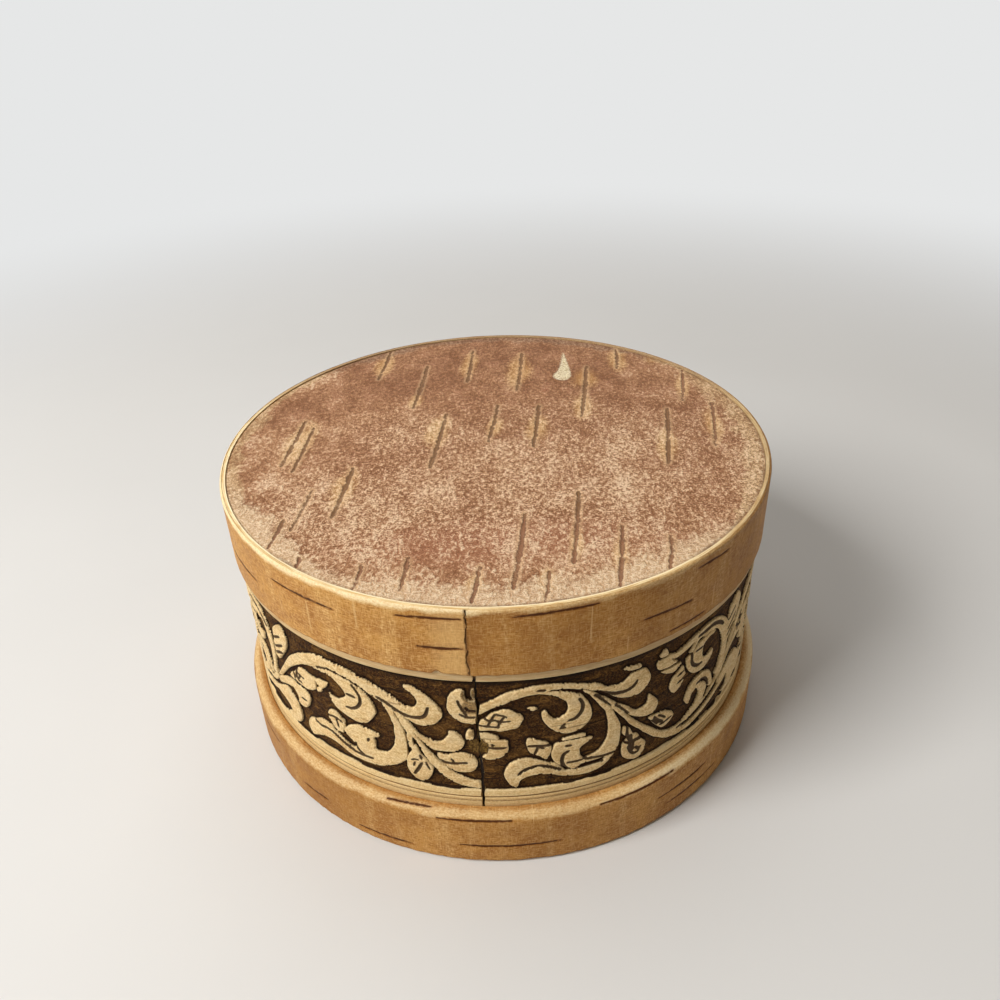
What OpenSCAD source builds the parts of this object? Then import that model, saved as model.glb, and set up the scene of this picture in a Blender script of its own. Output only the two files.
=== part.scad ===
// Round birch-bark trinket box with a lift-off lid, standing on its foot at z = 0.
// The seams of the front face -Y, and the axis of the box is the Z axis.
// Every wall is a strip of bark bent into a ring and glued to its neighbours.

/* [Lid] */
// Outer diameter of the lid
lid_d = 100; // [70:1:160]
// Height of the lid from its lower edge to its rim
lid_h = 14; // [10:0.5:30]
// Thickness of the honey-coloured skin round the lid
lid_skin_t = 0.4; // [0.2:0.1:0.8]
// Height of the pale strip that shows below the skin
lid_strip_h = 1.5; // [0.5:0.1:3]
// Thickness of the pale ply that carries the skin
lid_ply_t = 1.1; // [0.6:0.1:2.5]
// Radius of the rounded outer edge of the rim
rim_round = 0.3; // [0.1:0.05:0.6]
// Depth of the bark disc below the rim
disc_drop = 0.2; // [0.1:0.05:1]
// Thickness of the bark disc on top
disc_t = 0.8; // [0.4:0.1:2]
// Width of the ledge in the ply on which the edge of the bark disc rests
disc_lap = 0.4; // [0:0.05:0.6]
// Thickness of the wooden lid board
lid_board_t = 2.7; // [2:0.1:5]
// Thickness of the bark lining under the lid board
lid_lining_t = 0.5; // [0.3:0.1:1]

/* [Body] */
// Height of the carved band's top edge, on which the lid sits
seat_h = 40; // [25:1:90]
// Thickness of the carved band
carved_t = 1.05; // [0.7:0.05:2]
// Thickness of the inner liner, whose top is the neck for the lid
liner_t = 1.4; // [0.8:0.1:3]
// Running gap between the neck and the lid's ply
neck_gap = 0.3; // [0.1:0.05:0.6]
// Gap between the top of the neck and the lid's lining
neck_top_gap = 1.3; // [0.5:0.1:3]
// Thickness of the wooden bottom board
bottom_t = 3.5; // [2:0.1:5]
// Thickness of the bark disc under the bottom board
underside_t = 0.8; // [0.4:0.1:2]
// Thickness of the bark lining on the floor
floor_lining_t = 0.5; // [0.3:0.1:1]

/* [Border of the carved band] */
// Height of the groove above the base band
border_groove_z = 1.9; // [1:0.1:4]
// Width of the groove
border_groove_w = 0.35; // [0.2:0.05:0.8]
// Depth of the groove
border_groove_depth = 0.3; // [0.1:0.05:0.4]

/* [Base band] */
// Height of the base band
base_h = 11.8; // [7:0.1:20]
// Thickness of the pale core of the base band
base_core_t = 2; // [1:0.1:4]
// Thickness of the honey-coloured skin round the core
base_skin_t = 0.4; // [0.2:0.1:0.8]
// Radius of the rounded top edge of the core
base_round = 1.2; // [0.3:0.1:1.8]
// Height of the skin's lower edge above the table
base_skin_lift = 0.4; // [0.1:0.1:2]

/* [Seams] */
// Width of the seam in the lid's skin
lid_skin_seam_w = 0.25; // [0.1:0.05:1]
// Width of the seam in the lid's ply
lid_ply_seam_w = 0.5; // [0.1:0.05:1]
// Width of the seam in the carved band
carved_seam_w = 0.6; // [0.1:0.05:1.5]
// Width of the glued seams of the base band and the liner
glued_seam_w = 0.2; // [0.1:0.05:1]

/* [Hidden] */
$fn = 180;

// Radii, from the outside of the lid inwards
lid_r = lid_d / 2;
lid_ply_r = lid_r - lid_skin_t;
lid_bore_r = lid_ply_r - lid_ply_t;
liner_r = lid_bore_r - neck_gap;
inside_r = liner_r - liner_t;

// Radii, from the liner outwards
carved_r = liner_r + carved_t;
base_core_r = carved_r + base_core_t;
base_skin_r = base_core_r + base_skin_t;

// Heights of the lid's layers, from the rim down
rim_z = seat_h + lid_h;
disc_r = lid_bore_r + min(disc_lap, lid_ply_t / 2);
disc_top_z = rim_z - disc_drop;
lid_board_top_z = disc_top_z - disc_t;
lid_lining_top_z = lid_board_top_z - lid_board_t;
lid_lining_z = lid_lining_top_z - lid_lining_t;
neck_top_z = lid_lining_z - neck_top_gap;

// Heights of the floor's layers, from the table up
floor_z = underside_t + bottom_t;

// The skin of the base band covers the core's top edge, so the core stops one skin lower
base_core_top_z = base_h - base_skin_t;
base_core_round = max(0.1, base_round - base_skin_t);

// Angles of the seams about the axis, counted from the front towards +X
lid_skin_seam_a = -6.1;
lid_ply_seam_a = -5.3;
carved_seam_a = -5.1;
base_skin_seam_a = 168;
base_core_seam_a = -174;
liner_seam_a = 180;

// A seam's cutter reaches this far past the ring that it cuts
cut_past = 1;

// Plain ring between two radii and two heights
module ring(inner_r, outer_r, low_z, high_z) {
    translate([0, 0, low_z]) difference() {
        cylinder(r = outer_r, h = high_z - low_z);
        translate([0, 0, -cut_past]) cylinder(r = inner_r, h = high_z - low_z + 2 * cut_past);
    }
}

// Section of a ring whose outer top edge is rounded
module round_top_section(inner_r, outer_r, low_z, high_z, wanted_round) {
    edge_r = min(wanted_round, outer_r - inner_r - 0.1);
    translate([inner_r, low_z]) square([outer_r - inner_r, high_z - edge_r - low_z]);
    translate([inner_r, high_z - edge_r]) square([outer_r - edge_r - inner_r, edge_r]);
    translate([outer_r - edge_r, high_z - edge_r]) intersection() {
        circle(r = edge_r);
        square(edge_r);
    }
}

// Cutter of a seam: a thin slab from inside the ring to outside it, at an angle from the front
module seam_cut(angle, width, inner_r, outer_r, low_z, high_z) {
    rotate([0, 0, angle])
        translate([-width / 2, -outer_r - cut_past, low_z - cut_past])
            cube([width, outer_r - inner_r + 2 * cut_past, high_z - low_z + 2 * cut_past]);
}

// Plain disc between two heights
module disc(radius, low_z, high_z) {
    translate([0, 0, low_z]) cylinder(r = radius, h = high_z - low_z);
}

module lid_top_bark() {
    color([0.62, 0.44, 0.36]) disc(disc_r, lid_board_top_z, disc_top_z);
}

module lid_board() {
    color([0.84, 0.70, 0.50]) disc(lid_bore_r, lid_lining_top_z, lid_board_top_z);
}

module lid_lining() {
    color([0.78, 0.58, 0.36]) disc(lid_bore_r, lid_lining_z, lid_lining_top_z);
}

// Pale ply: its top edge shows in the rim, its lower edge shows below the skin, and the disc rests on its ledge
module lid_ply() {
    color([0.88, 0.76, 0.56]) difference() {
        ring(lid_bore_r, lid_ply_r, seat_h, rim_z);
        translate([0, 0, lid_board_top_z]) cylinder(r = disc_r, h = disc_t + disc_drop + cut_past);
        seam_cut(lid_ply_seam_a, lid_ply_seam_w, lid_bore_r, lid_ply_r, seat_h, rim_z);
    }
}

// Honey-coloured skin, rounded at the rim
module lid_skin() {
    skin_low_z = seat_h + lid_strip_h;
    color([0.80, 0.58, 0.32]) difference() {
        rotate_extrude() round_top_section(lid_ply_r, lid_r, skin_low_z, rim_z, rim_round);
        seam_cut(lid_skin_seam_a, lid_skin_seam_w, lid_ply_r, lid_r, skin_low_z, rim_z);
    }
}

// Carved band: it stands behind the base band, and the lid sits on its top edge
module carved_band() {
    groove_z = base_h + border_groove_z;
    groove_floor_r = carved_r - border_groove_depth;
    color([0.66, 0.52, 0.34]) difference() {
        ring(liner_r, carved_r, 0, seat_h);
        ring(groove_floor_r, carved_r + cut_past, groove_z, groove_z + border_groove_w);
        seam_cut(carved_seam_a, carved_seam_w, liner_r, carved_r, 0, seat_h);
    }
}

// Liner: it stands on the bottom board and rises into the lid as its neck
module liner() {
    color([0.80, 0.62, 0.42]) difference() {
        ring(inside_r, liner_r, floor_z, neck_top_z);
        seam_cut(liner_seam_a, glued_seam_w, inside_r, liner_r, floor_z, neck_top_z);
    }
}

module bottom_board() {
    color([0.84, 0.70, 0.50]) disc(liner_r, underside_t, floor_z);
}

module floor_lining() {
    color([0.78, 0.58, 0.36]) disc(inside_r, floor_z, floor_z + floor_lining_t);
}

module underside_bark() {
    color([0.62, 0.44, 0.36]) disc(liner_r, 0, underside_t);
}

// Core of the base band, rounded at its top edge
module base_core() {
    color([0.88, 0.76, 0.56]) difference() {
        rotate_extrude() round_top_section(carved_r, base_core_r, 0, base_core_top_z, base_core_round);
        seam_cut(base_core_seam_a, glued_seam_w, carved_r, base_core_r, 0, base_h);
    }
}

// Honey-coloured skin of the base band: it bends over the core's top edge and ends at the carved band
module base_skin() {
    color([0.80, 0.58, 0.32]) difference() {
        rotate_extrude() difference() {
            round_top_section(carved_r, base_skin_r, base_skin_lift, base_h, base_round);
            round_top_section(carved_r - cut_past, base_core_r, -cut_past, base_core_top_z, base_core_round);
        }
        seam_cut(base_skin_seam_a, glued_seam_w, carved_r, base_skin_r, base_skin_lift, base_h);
    }
}

lid_top_bark();
lid_board();
lid_lining();
lid_ply();
lid_skin();
carved_band();
liner();
bottom_board();
floor_lining();
underside_bark();
base_core();
base_skin();
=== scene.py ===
import math
import bpy
import numpy as np
from mathutils import Matrix, Vector


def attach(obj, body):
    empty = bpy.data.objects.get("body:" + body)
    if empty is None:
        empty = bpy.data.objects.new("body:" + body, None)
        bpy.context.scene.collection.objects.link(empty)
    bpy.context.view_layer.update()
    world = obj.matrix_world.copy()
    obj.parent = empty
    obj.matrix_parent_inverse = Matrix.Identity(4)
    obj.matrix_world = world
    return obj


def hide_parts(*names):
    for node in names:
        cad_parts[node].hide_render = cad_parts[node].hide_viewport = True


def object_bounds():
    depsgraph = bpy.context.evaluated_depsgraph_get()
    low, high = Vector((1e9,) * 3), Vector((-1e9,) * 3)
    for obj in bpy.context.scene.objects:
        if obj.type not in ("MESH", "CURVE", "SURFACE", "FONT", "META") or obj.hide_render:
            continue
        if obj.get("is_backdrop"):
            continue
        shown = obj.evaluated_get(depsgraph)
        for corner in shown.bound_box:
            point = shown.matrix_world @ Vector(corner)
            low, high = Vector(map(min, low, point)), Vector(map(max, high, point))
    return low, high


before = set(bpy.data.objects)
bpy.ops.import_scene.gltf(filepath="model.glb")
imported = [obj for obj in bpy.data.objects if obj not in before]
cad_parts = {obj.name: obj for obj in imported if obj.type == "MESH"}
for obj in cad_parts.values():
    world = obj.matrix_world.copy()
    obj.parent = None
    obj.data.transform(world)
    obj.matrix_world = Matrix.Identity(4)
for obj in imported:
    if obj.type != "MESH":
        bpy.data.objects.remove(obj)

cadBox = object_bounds()
mm = 0.001  # every length below is written in mm
scene = bpy.context.scene


# Shader building

def hexColour(text):  # as seen on the screen, turned into the linear light that a shader takes
    parts = [int(text[i:i + 2], 16) / 255 for i in (0, 2, 4)]
    return tuple(p / 12.92 if p <= 0.04045 else ((p + 0.055) / 1.055) ** 2.4 for p in parts) + (1.0,)


class Wire:
    def __init__(self, shader, socket):
        self.shader, self.socket = shader, socket

    def __add__(self, other): return self.shader.maths("ADD", self, other)
    def __radd__(self, other): return self.shader.maths("ADD", other, self)
    def __sub__(self, other): return self.shader.maths("SUBTRACT", self, other)
    def __rsub__(self, other): return self.shader.maths("SUBTRACT", other, self)
    def __mul__(self, other): return self.shader.maths("MULTIPLY", self, other)
    def __rmul__(self, other): return self.shader.maths("MULTIPLY", other, self)


class Finish:
    def __init__(self, owner):  # a new material, or the world
        owner.use_nodes = True
        self.owner, self.tree = owner, owner.node_tree

    def put(self, socket, value):  # links a wire, or sets a number or a colour
        if isinstance(value, Wire):
            self.tree.links.new(value.socket, socket)
        else:
            socket.default_value = hexColour(value) if isinstance(value, str) else value

    def node(self, kind, settings=None, values=None, out=0):
        made = self.tree.nodes.new(kind)
        for key, value in (settings or {}).items():
            setattr(made, key, value)
        for key, value in (values or {}).items():
            self.put(made.inputs[key], value)
        return Wire(self, made.outputs[out])

    def maths(self, operation, *values):
        return self.node("ShaderNodeMath", {"operation": operation}, dict(enumerate(values)))

    def step(self, value, low, high, toLow=0.0, toHigh=1.0):
        return self.node("ShaderNodeMapRange", {"interpolation_type": "SMOOTHSTEP"},
                         {"Value": value, "From Min": low, "From Max": high, "To Min": toLow, "To Max": toHigh})

    def mixed(self, mask, under, over, label=""):
        return self.node("ShaderNodeMix", {"data_type": "RGBA", "label": label}, {0: mask, 6: under, 7: over}, out=2)

    def tones(self, value, low, high, dark, light):  # from a dark tone to a light one between two values
        return self.mixed(self.step(value, low, high), dark, light)

    def layered(self, colour, layers):
        # layer: a value, where its colour starts and is full, its most and the colour; or a mask and the colour
        for name, (value, *reach, over) in layers.items():
            mask = self.step(value, *reach[:2], 0, reach[2]) if reach else value
            colour = self.mixed(mask, colour, over, name)
        return colour

    def noise(self, place, scale, detail, rough, stretch=None, turn=0, warp=0):  # scale per mm, turn in degrees
        if stretch:
            place = self.node("ShaderNodeMapping", None,
                              {"Vector": place, "Scale": stretch, "Rotation": (0, 0, math.radians(turn))})
        return self.node("ShaderNodeTexNoise", None, {"Vector": place, "Scale": scale, "Detail": detail,
                                                      "Roughness": rough, "Distortion": warp})

    def reads(self, *names):  # numbers kept on the mesh
        return [self.node("ShaderNodeAttribute", {"attribute_name": name}, out="Fac") for name in names]

    def readPlace(self, name):  # a place kept on the mesh, in mm
        return self.node("ShaderNodeAttribute", {"attribute_name": name}, out="Vector")

    def objectPlace(self):  # in mm
        raw = self.node("ShaderNodeTexCoord", out="Object")
        return self.node("ShaderNodeVectorMath", {"operation": "SCALE"}, {0: raw, "Scale": 1 / mm})

    def lookedAt(self):  # 1 where the camera sees it directly, in a gloss or through glass
        camera, gloss, glass = (self.node("ShaderNodeLightPath", out=ray)
                                for ray in ("Is Camera Ray", "Is Glossy Ray", "Is Transmission Ray"))
        return self.maths("MAXIMUM", self.maths("MAXIMUM", camera, gloss), glass)

    def finish(self, colour, rough, height=None, bumpDepth=0.1, specular=0.3):  # depth in mm
        inputs = self.tree.nodes["Principled BSDF"].inputs
        for key, value in (("Base Color", colour), ("Roughness", rough), ("Specular IOR Level", specular)):
            self.put(inputs[key], value)
        if height:
            bump = self.node("ShaderNodeBump", None, {"Height": height, "Distance": bumpDepth * mm, "Strength": 1.0})
            self.put(inputs["Normal"], bump)
        return self.owner


# Mesh building

sharpAngle = 32  # degrees
window = 1.3  # mm round a line within which distances to it count


def addMesh(piece, points, faces, numbers, place):
    # piece: name, body, slot, material and the CAD node that it replaces; place: name and places that a finish reads
    name, body, slot, material, node = piece
    mesh = bpy.data.meshes.new(name)
    mesh.from_pydata((points * mm).tolist(), [], faces)
    mesh.update()
    kept = [(key, "FLOAT", "value", values) for key, values in numbers.items()]
    for key, kind, part, values in kept + [(place[0], "FLOAT_VECTOR", "vector", place[1])]:
        mesh.attributes.new(key, kind, "POINT").data.foreach_set(part, np.asarray(values, np.float32).ravel())
    mesh.polygons.foreach_set("use_smooth", np.ones(len(mesh.polygons), bool))
    mesh.set_sharp_from_angle(angle=math.radians(sharpAngle))
    mesh.materials.append(material)
    made = bpy.data.objects.new(name, mesh)
    scene.collection.objects.link(made)
    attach(made, body)
    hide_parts(node)


def smoothNoise(u, v, size, seed):  # smooth random field from -1 to 1, with bumps of about this size
    lattice = np.random.RandomState(seed).uniform(-1, 1, (256, 256))
    a, b = np.asarray(u) / size, np.asarray(v) / size
    i, j = np.floor(a).astype(int), np.floor(b).astype(int)
    fa, fb = a - i, b - j
    fa, fb = fa * fa * (3 - 2 * fa), fb * fb * (3 - 2 * fb)
    corner = lambda di, dj: lattice[(i + di) % 256, (j + dj) % 256]
    return ((corner(0, 0) * (1 - fa) + corner(1, 0) * fa) * (1 - fb)
            + (corner(0, 1) * (1 - fa) + corner(1, 1) * fa) * fb)


def ripple(along, size, seed):  # the same, changing in one direction only
    return smoothNoise(along, along * 0, size, seed)


def smoothStep(value, low, high):
    t = np.clip((value - low) / (high - low), 0, 1)
    return t * t * (3 - 2 * t)


def columnShares(arc, seamAngle, fine, coarse, reach):
    # places of the columns from a seam round to it again, closer together within this reach of the front
    tries = 4000
    shares = np.linspace(0, 1, tries + 1)
    along = ((math.radians(seamAngle) + 2 * math.pi * shares + math.pi) % (2 * math.pi) - math.pi) * arc
    steps = 2 * math.pi * arc / tries / np.where(abs(along[1:]) < reach, fine, coarse)
    passed = np.concatenate([[0], np.cumsum(steps)])
    return np.interp(np.linspace(0, passed[-1], int(passed[-1]) + 1), passed, shares)


def bentStrip(strip, relief):
    # section: (radius, height) from the outer foot up, over the top and back down inside
    # seam: its angle from the front in degrees, its gap and its wander at a height
    # steps: of the columns near the front, beyond, and how far from the front the first goes
    section, arc, (seamAngle, seamGap, seamWander) = np.array(strip["section"], float), strip["radius"], strip["seam"]
    ahead, behind = np.roll(section, -1, 0), np.roll(section, 1, 0)
    up = section[0, 1] + np.concatenate([[0], np.cumsum(np.hypot(*(ahead - section).T))[:-1]])
    outward = np.stack([(ahead - behind)[:, 1], (behind - ahead)[:, 0]], -1) / np.hypot(*(ahead - behind).T)[:, None]
    shares = columnShares(arc, seamAngle, *strip["steps"])
    columns = len(shares)
    radius, height, up = (np.repeat(values[:, None], columns, 1) for values in (section[:, 0], section[:, 1], up))
    wander, gap = seamWander(height) / arc, seamGap(height) / arc
    fromMiddle = 0.5 - shares[None, :]
    pull = smoothStep(abs(fromMiddle), 0.42, 0.5)  # only the columns near the seam follow it
    angle = math.radians(seamAngle) + 2 * math.pi * shares[None, :] + (wander + gap * fromMiddle) * pull
    along, moved, drop, numbers = relief(angle * arc, height, up, radius)
    angle, up, height = along / arc, up + moved - height, moved
    radius, height = radius - drop * outward[:, :1], height - drop * outward[:, 1:]
    points = np.stack([radius * np.sin(angle), -radius * np.cos(angle), height], -1)
    index = np.arange(len(section) * columns).reshape(-1, columns)
    above = np.roll(index, -1, 0)
    quads = np.stack([index[:, :-1], index[:, 1:], above[:, 1:], above[:, :-1]], -1).reshape(-1, 4)
    faces = quads.tolist() + [index[:, 0].tolist(), index[::-1, -1].tolist()]
    addMesh(strip["piece"], points.reshape(-1, 3), faces, numbers, ("wrap", np.stack([along, up, radius], -1)))


def pairs(numbers):  # x,y, x,y, ... as points
    return np.array(numbers, float).reshape(-1, 2)


def catmull(points, closed, parts=4):  # smooth line through points
    here = pairs(points)
    if closed:
        before, after, second = (np.roll(here, by, 0) for by in (1, -1, -2))
    else:
        before, after = np.vstack([here[:1], here[:-1]]), np.vstack([here[1:], here[-1:]])
        second = np.vstack([here[2:], here[-1:], here[-1:]])
    t = (np.arange(parts) / parts)[None, :, None]
    b, p, a, s = (points[:, None] for points in (before, here, after, second))
    curve = 0.5 * (2 * p + (a - b) * t + (2 * b - 5 * p + 4 * a - s) * t ** 2 + (3 * p - b - 3 * a + s) * t ** 3)
    return curve.reshape(-1, 2) if closed else np.vstack([curve[:-1].reshape(-1, 2), here[-1:]])


def lineDistance(x, y, line, closed):  # distance to a line, and the share of the line's pieces at the nearest point
    best, share = np.full(x.shape, 1e9), np.zeros(x.shape)
    ends = np.vstack([line, line[:1]]) if closed else line
    for k in range(len(ends) - 1):
        (ax, ay), (bx, by) = ends[k], ends[k + 1]
        dx, dy = bx - ax, by - ay
        t = np.clip(((x - ax) * dx + (y - ay) * dy) / max(dx * dx + dy * dy, 1e-9), 0, 1)
        away = np.hypot(x - ax - t * dx, y - ay - t * dy)
        nearer = away < best
        best = np.where(nearer, away, best)
        share = np.where(nearer, (k + t) / (len(ends) - 1), share)
    return best, share


def inside(x, y, line):  # whether a point is inside a closed line
    odd = np.zeros(x.shape, bool)
    for (ax, ay), (bx, by) in zip(line, np.roll(line, -1, 0)):
        if ay != by:
            odd ^= ((ay > y) != (by > y)) & (x < (bx - ax) * (y - ay) / (by - ay) + ax)
    return odd


def nearLine(x, y, line, margin):  # which points lie in the line's box with a margin round it
    low, high = line.min(0) - margin, line.max(0) + margin
    return np.nonzero((x > low[0]) & (x < high[0]) & (y > low[1]) & (y < high[1]))


def stampShapes(x, y, shapes, shift=0.0, field=None, margin=window):  # distance into the nearest shape, minus outside
    field = np.full(x.shape, -margin) if field is None else field
    for shape in shapes:
        line = catmull(shape, True) + (shift, 0)
        near = nearLine(x, y, line, margin)
        px, py = x[near], y[near]
        away = lineDistance(px, py, line, True)[0]
        field[near] = np.maximum(field[near], np.where(inside(px, py, line), away, -away))
    return field


def stampLines(x, y, lines, shift=0.0, field=None, margin=window, taper=0.6):
    field = np.full(x.shape, margin) if field is None else field  # distance from the nearest line, minus in it
    for halfWidth, path in lines:
        line = catmull(path, False, 3) + (shift, 0)
        near = nearLine(x, y, line, margin)
        away, share = lineDistance(x[near], y[near], line, False)
        width = halfWidth * (1 - taper + taper * np.sqrt(np.clip(4 * share * (1 - share), 0, 1)))
        field[near] = np.minimum(field[near], away - width)
    return field


print("building tools ready")


# Camera, floor and lights

view = {"place": (0, -148.2, 135.4), "yaw": 0.22, "pitch": 32.68, "roll": -2.28, "lens": 32.57}
cameraData = bpy.data.cameras.new("camera")
cameraData.sensor_width, cameraData.lens, cameraData.clip_start = 36, view["lens"], 0.005
camera = bpy.data.objects.new("camera", cameraData)
scene.collection.objects.link(camera)
yaw, pitch, roll = (math.radians(view[key]) for key in ("yaw", "pitch", "roll"))
ahead = Vector((math.sin(yaw) * math.cos(pitch), math.cos(yaw) * math.cos(pitch), -math.sin(pitch)))
level = ahead.cross(Vector((0, 0, 1))).normalized()
upward = level.cross(ahead)
right = level * math.cos(roll) + upward * math.sin(roll)
upward = upward * math.cos(roll) - level * math.sin(roll)
turned = Matrix((right, upward, -ahead)).transposed().to_4x4()
camera.matrix_world = Matrix.Translation(Vector(view["place"]) * mm) @ turned
scene.camera = camera
scene.view_settings.view_transform = "Standard"

studio = {
    "background": "E6E7E7", "ambient": (1, 0.88, 0.74, 1), "ambientPower": 0.145,
    "floor": ("DDDBD7", "D9D7D3"), "floorSize": 2400, "shadowReach": (160, 420), "aim": (0, 0, 30),
    "lamps": {"key": {"place": (-440, -260, 500), "size": 300, "power": 4.95},
              "fill": {"place": (500, -350, 400), "size": 500, "power": 0.1},
              "top": {"place": (-50, 220, 600), "size": 500, "power": 1.2}}}

f = Finish(bpy.data.materials.new("paleFloor"))
spot = f.objectPlace()
f.finish(f.mixed(f.noise(spot, 0.02, 2, 0.55), *studio["floor"]), 0.8, specular=0.1)
# far from the box the camera sees the plain background colour, and near it the lit floor with its shadow
away = f.node("ShaderNodeVectorMath", {"operation": "LENGTH"}, {0: spot}, out="Value")
plain = f.node("ShaderNodeEmission", None, {"Color": studio["background"]})
lit = Wire(f, f.tree.nodes["Principled BSDF"].outputs[0])
both = f.node("ShaderNodeMixShader", None, {0: f.step(away, *studio["shadowReach"]) * f.lookedAt(), 1: lit, 2: plain})
f.put(f.tree.nodes["Material Output"].inputs["Surface"], both)
half = studio["floorSize"] / 2 * mm
floorMesh = bpy.data.meshes.new("floor")
floorMesh.from_pydata([(-half, -half, 0), (half, -half, 0), (half, half, 0), (-half, half, 0)], [], [(0, 1, 2, 3)])
floorMesh.materials.append(f.owner)
floor = bpy.data.objects.new("floor", floorMesh)
scene.collection.objects.link(floor)
floor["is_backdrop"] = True

for name, lampSettings in studio["lamps"].items():
    lampData = bpy.data.lights.new(name, "AREA")
    lampData.size, lampData.energy = lampSettings["size"] * mm, lampSettings["power"]
    lamp = bpy.data.objects.new(name, lampData)
    scene.collection.objects.link(lamp)
    lamp.location = Vector(lampSettings["place"]) * mm
    lamp.rotation_euler = (Vector(studio["aim"]) * mm - lamp.location).to_track_quat("-Z", "Y").to_euler()

scene.world = bpy.data.worlds.new("studio")
f = Finish(scene.world)
ambient = f.tree.nodes["Background"]
f.put(ambient.inputs["Color"], studio["ambient"])
f.put(ambient.inputs["Strength"], studio["ambientPower"])
seen = f.node("ShaderNodeBackground", None, {"Color": studio["background"], "Strength": 1.0})
both = f.node("ShaderNodeMixShader", None, {0: f.lookedAt(), 1: Wire(f, ambient.outputs[0]), 2: seen})
f.put(f.tree.nodes["World Output"].inputs["Surface"], both)
print("camera, floor and lights set")


# Finishes

def redBark():
    f = Finish(bpy.data.materials.new("redBark"))
    place = f.readPlace("flat")
    broad, fine = f.noise(place, 0.06, 3, 0.6), f.noise(place, 3.2, 3, 0.7)
    cloud, grit = f.noise(place, 0.28, 3, 0.6, (1, 0.6, 1), -8), f.noise(place, 1.5, 3, 0.65, (1, 0.7, 1), -8)
    dusk, blush, patch, pale, tan = f.reads("dusk", "blush", "patch", "pale", "tan")
    slit, chip, soft, dull, brink = f.reads("slit", "chip", "soft", "dull", "brink")
    rough = (grit - 0.5) * (0.66 - soft * 0.2) + (fine - 0.5) * (0.66 - soft * 0.4)
    rough = rough + cloud * 0.27 + broad * 0.27 - dusk * 0.04 + 0.53
    groove = f.layered(f.tones(blush + pale, 0.1, 0.7, "7A5230", "8C5C3E"), {
        "worn": (fine * 0.6 + cloud * 0.4, 0.49, 0.60, 0.55, "A8825A"),
        "deep": (slit + grit * 0.3, -0.05, 0.15, 0.6, "5E3C22")})
    patchTones = f.tones(rough, 0.70, 0.88, "BE884E", "ECC692")
    tanTones = f.tones(rough, 0.70, 0.88, "9C724A", "DAB484")
    paleTones = f.tones(grit * 0.5 + fine * 0.5, 0.40, 0.62, "CEA378", "F6DEBA")
    dullTones = f.tones(grit, 0.42, 0.6, "76523A", "A27C5E")
    chipTones = f.tones(fine * 0.6 + grit * 0.4, 0.42, 0.54, "CDAF7C", "FFF2CE")
    colour = f.layered(f.tones(rough, 0.68, 0.88, "83522F", "C39066"), {
        "cloud": (cloud + fine * 0.3, 0.62, 0.80, 0.3, "AC7658"),
        "blush": (blush + grit * 0.6, 0.55, 1.3, 0.45, "A8684A"),
        "patch": (patch + grit * 0.5 + cloud * 0.8, 0.86, 1.4, 0.85, patchTones),
        "tan": (tan + rough * 0.8, 0.95, 1.45, 0.85, tanTones),
        "speck": (rough - dusk * 0.02, 0.80, 0.95, 0.9, "F6D8B2"),
        "pit": (fine, 0.43, 0.34, 0.45, "6E4426"),
        "pale": (pale * 0.9 + rough * 1.4 + cloud * 0.3, 1.5, 2.1, 0.85, paleTones),
        "dull": (dull + rough * 0.5, 0.6, 1.2, 0.75, dullTones),
        # painted shadow along the disc's edge
        "brink": (brink * 0.8, "6B4A2E"),
        "halo": (slit + grit * 0.6 + fine * 0.4, 1.25, 0.8, 0.38, "E0B88A"),
        "groove": (slit + grit * 0.9 + cloud * 0.4, 0.82, 0.58, 0.9, groove),
        "chip": (chip + fine * 1.4, 0.50, 1.05, 0.92, chipTones)})
    return f.finish(colour, f.step(fine, 0.3, 0.8, 0.62, 0.5), grit * 0.8 + fine * 0.7, 0.42, 0.25)


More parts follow.
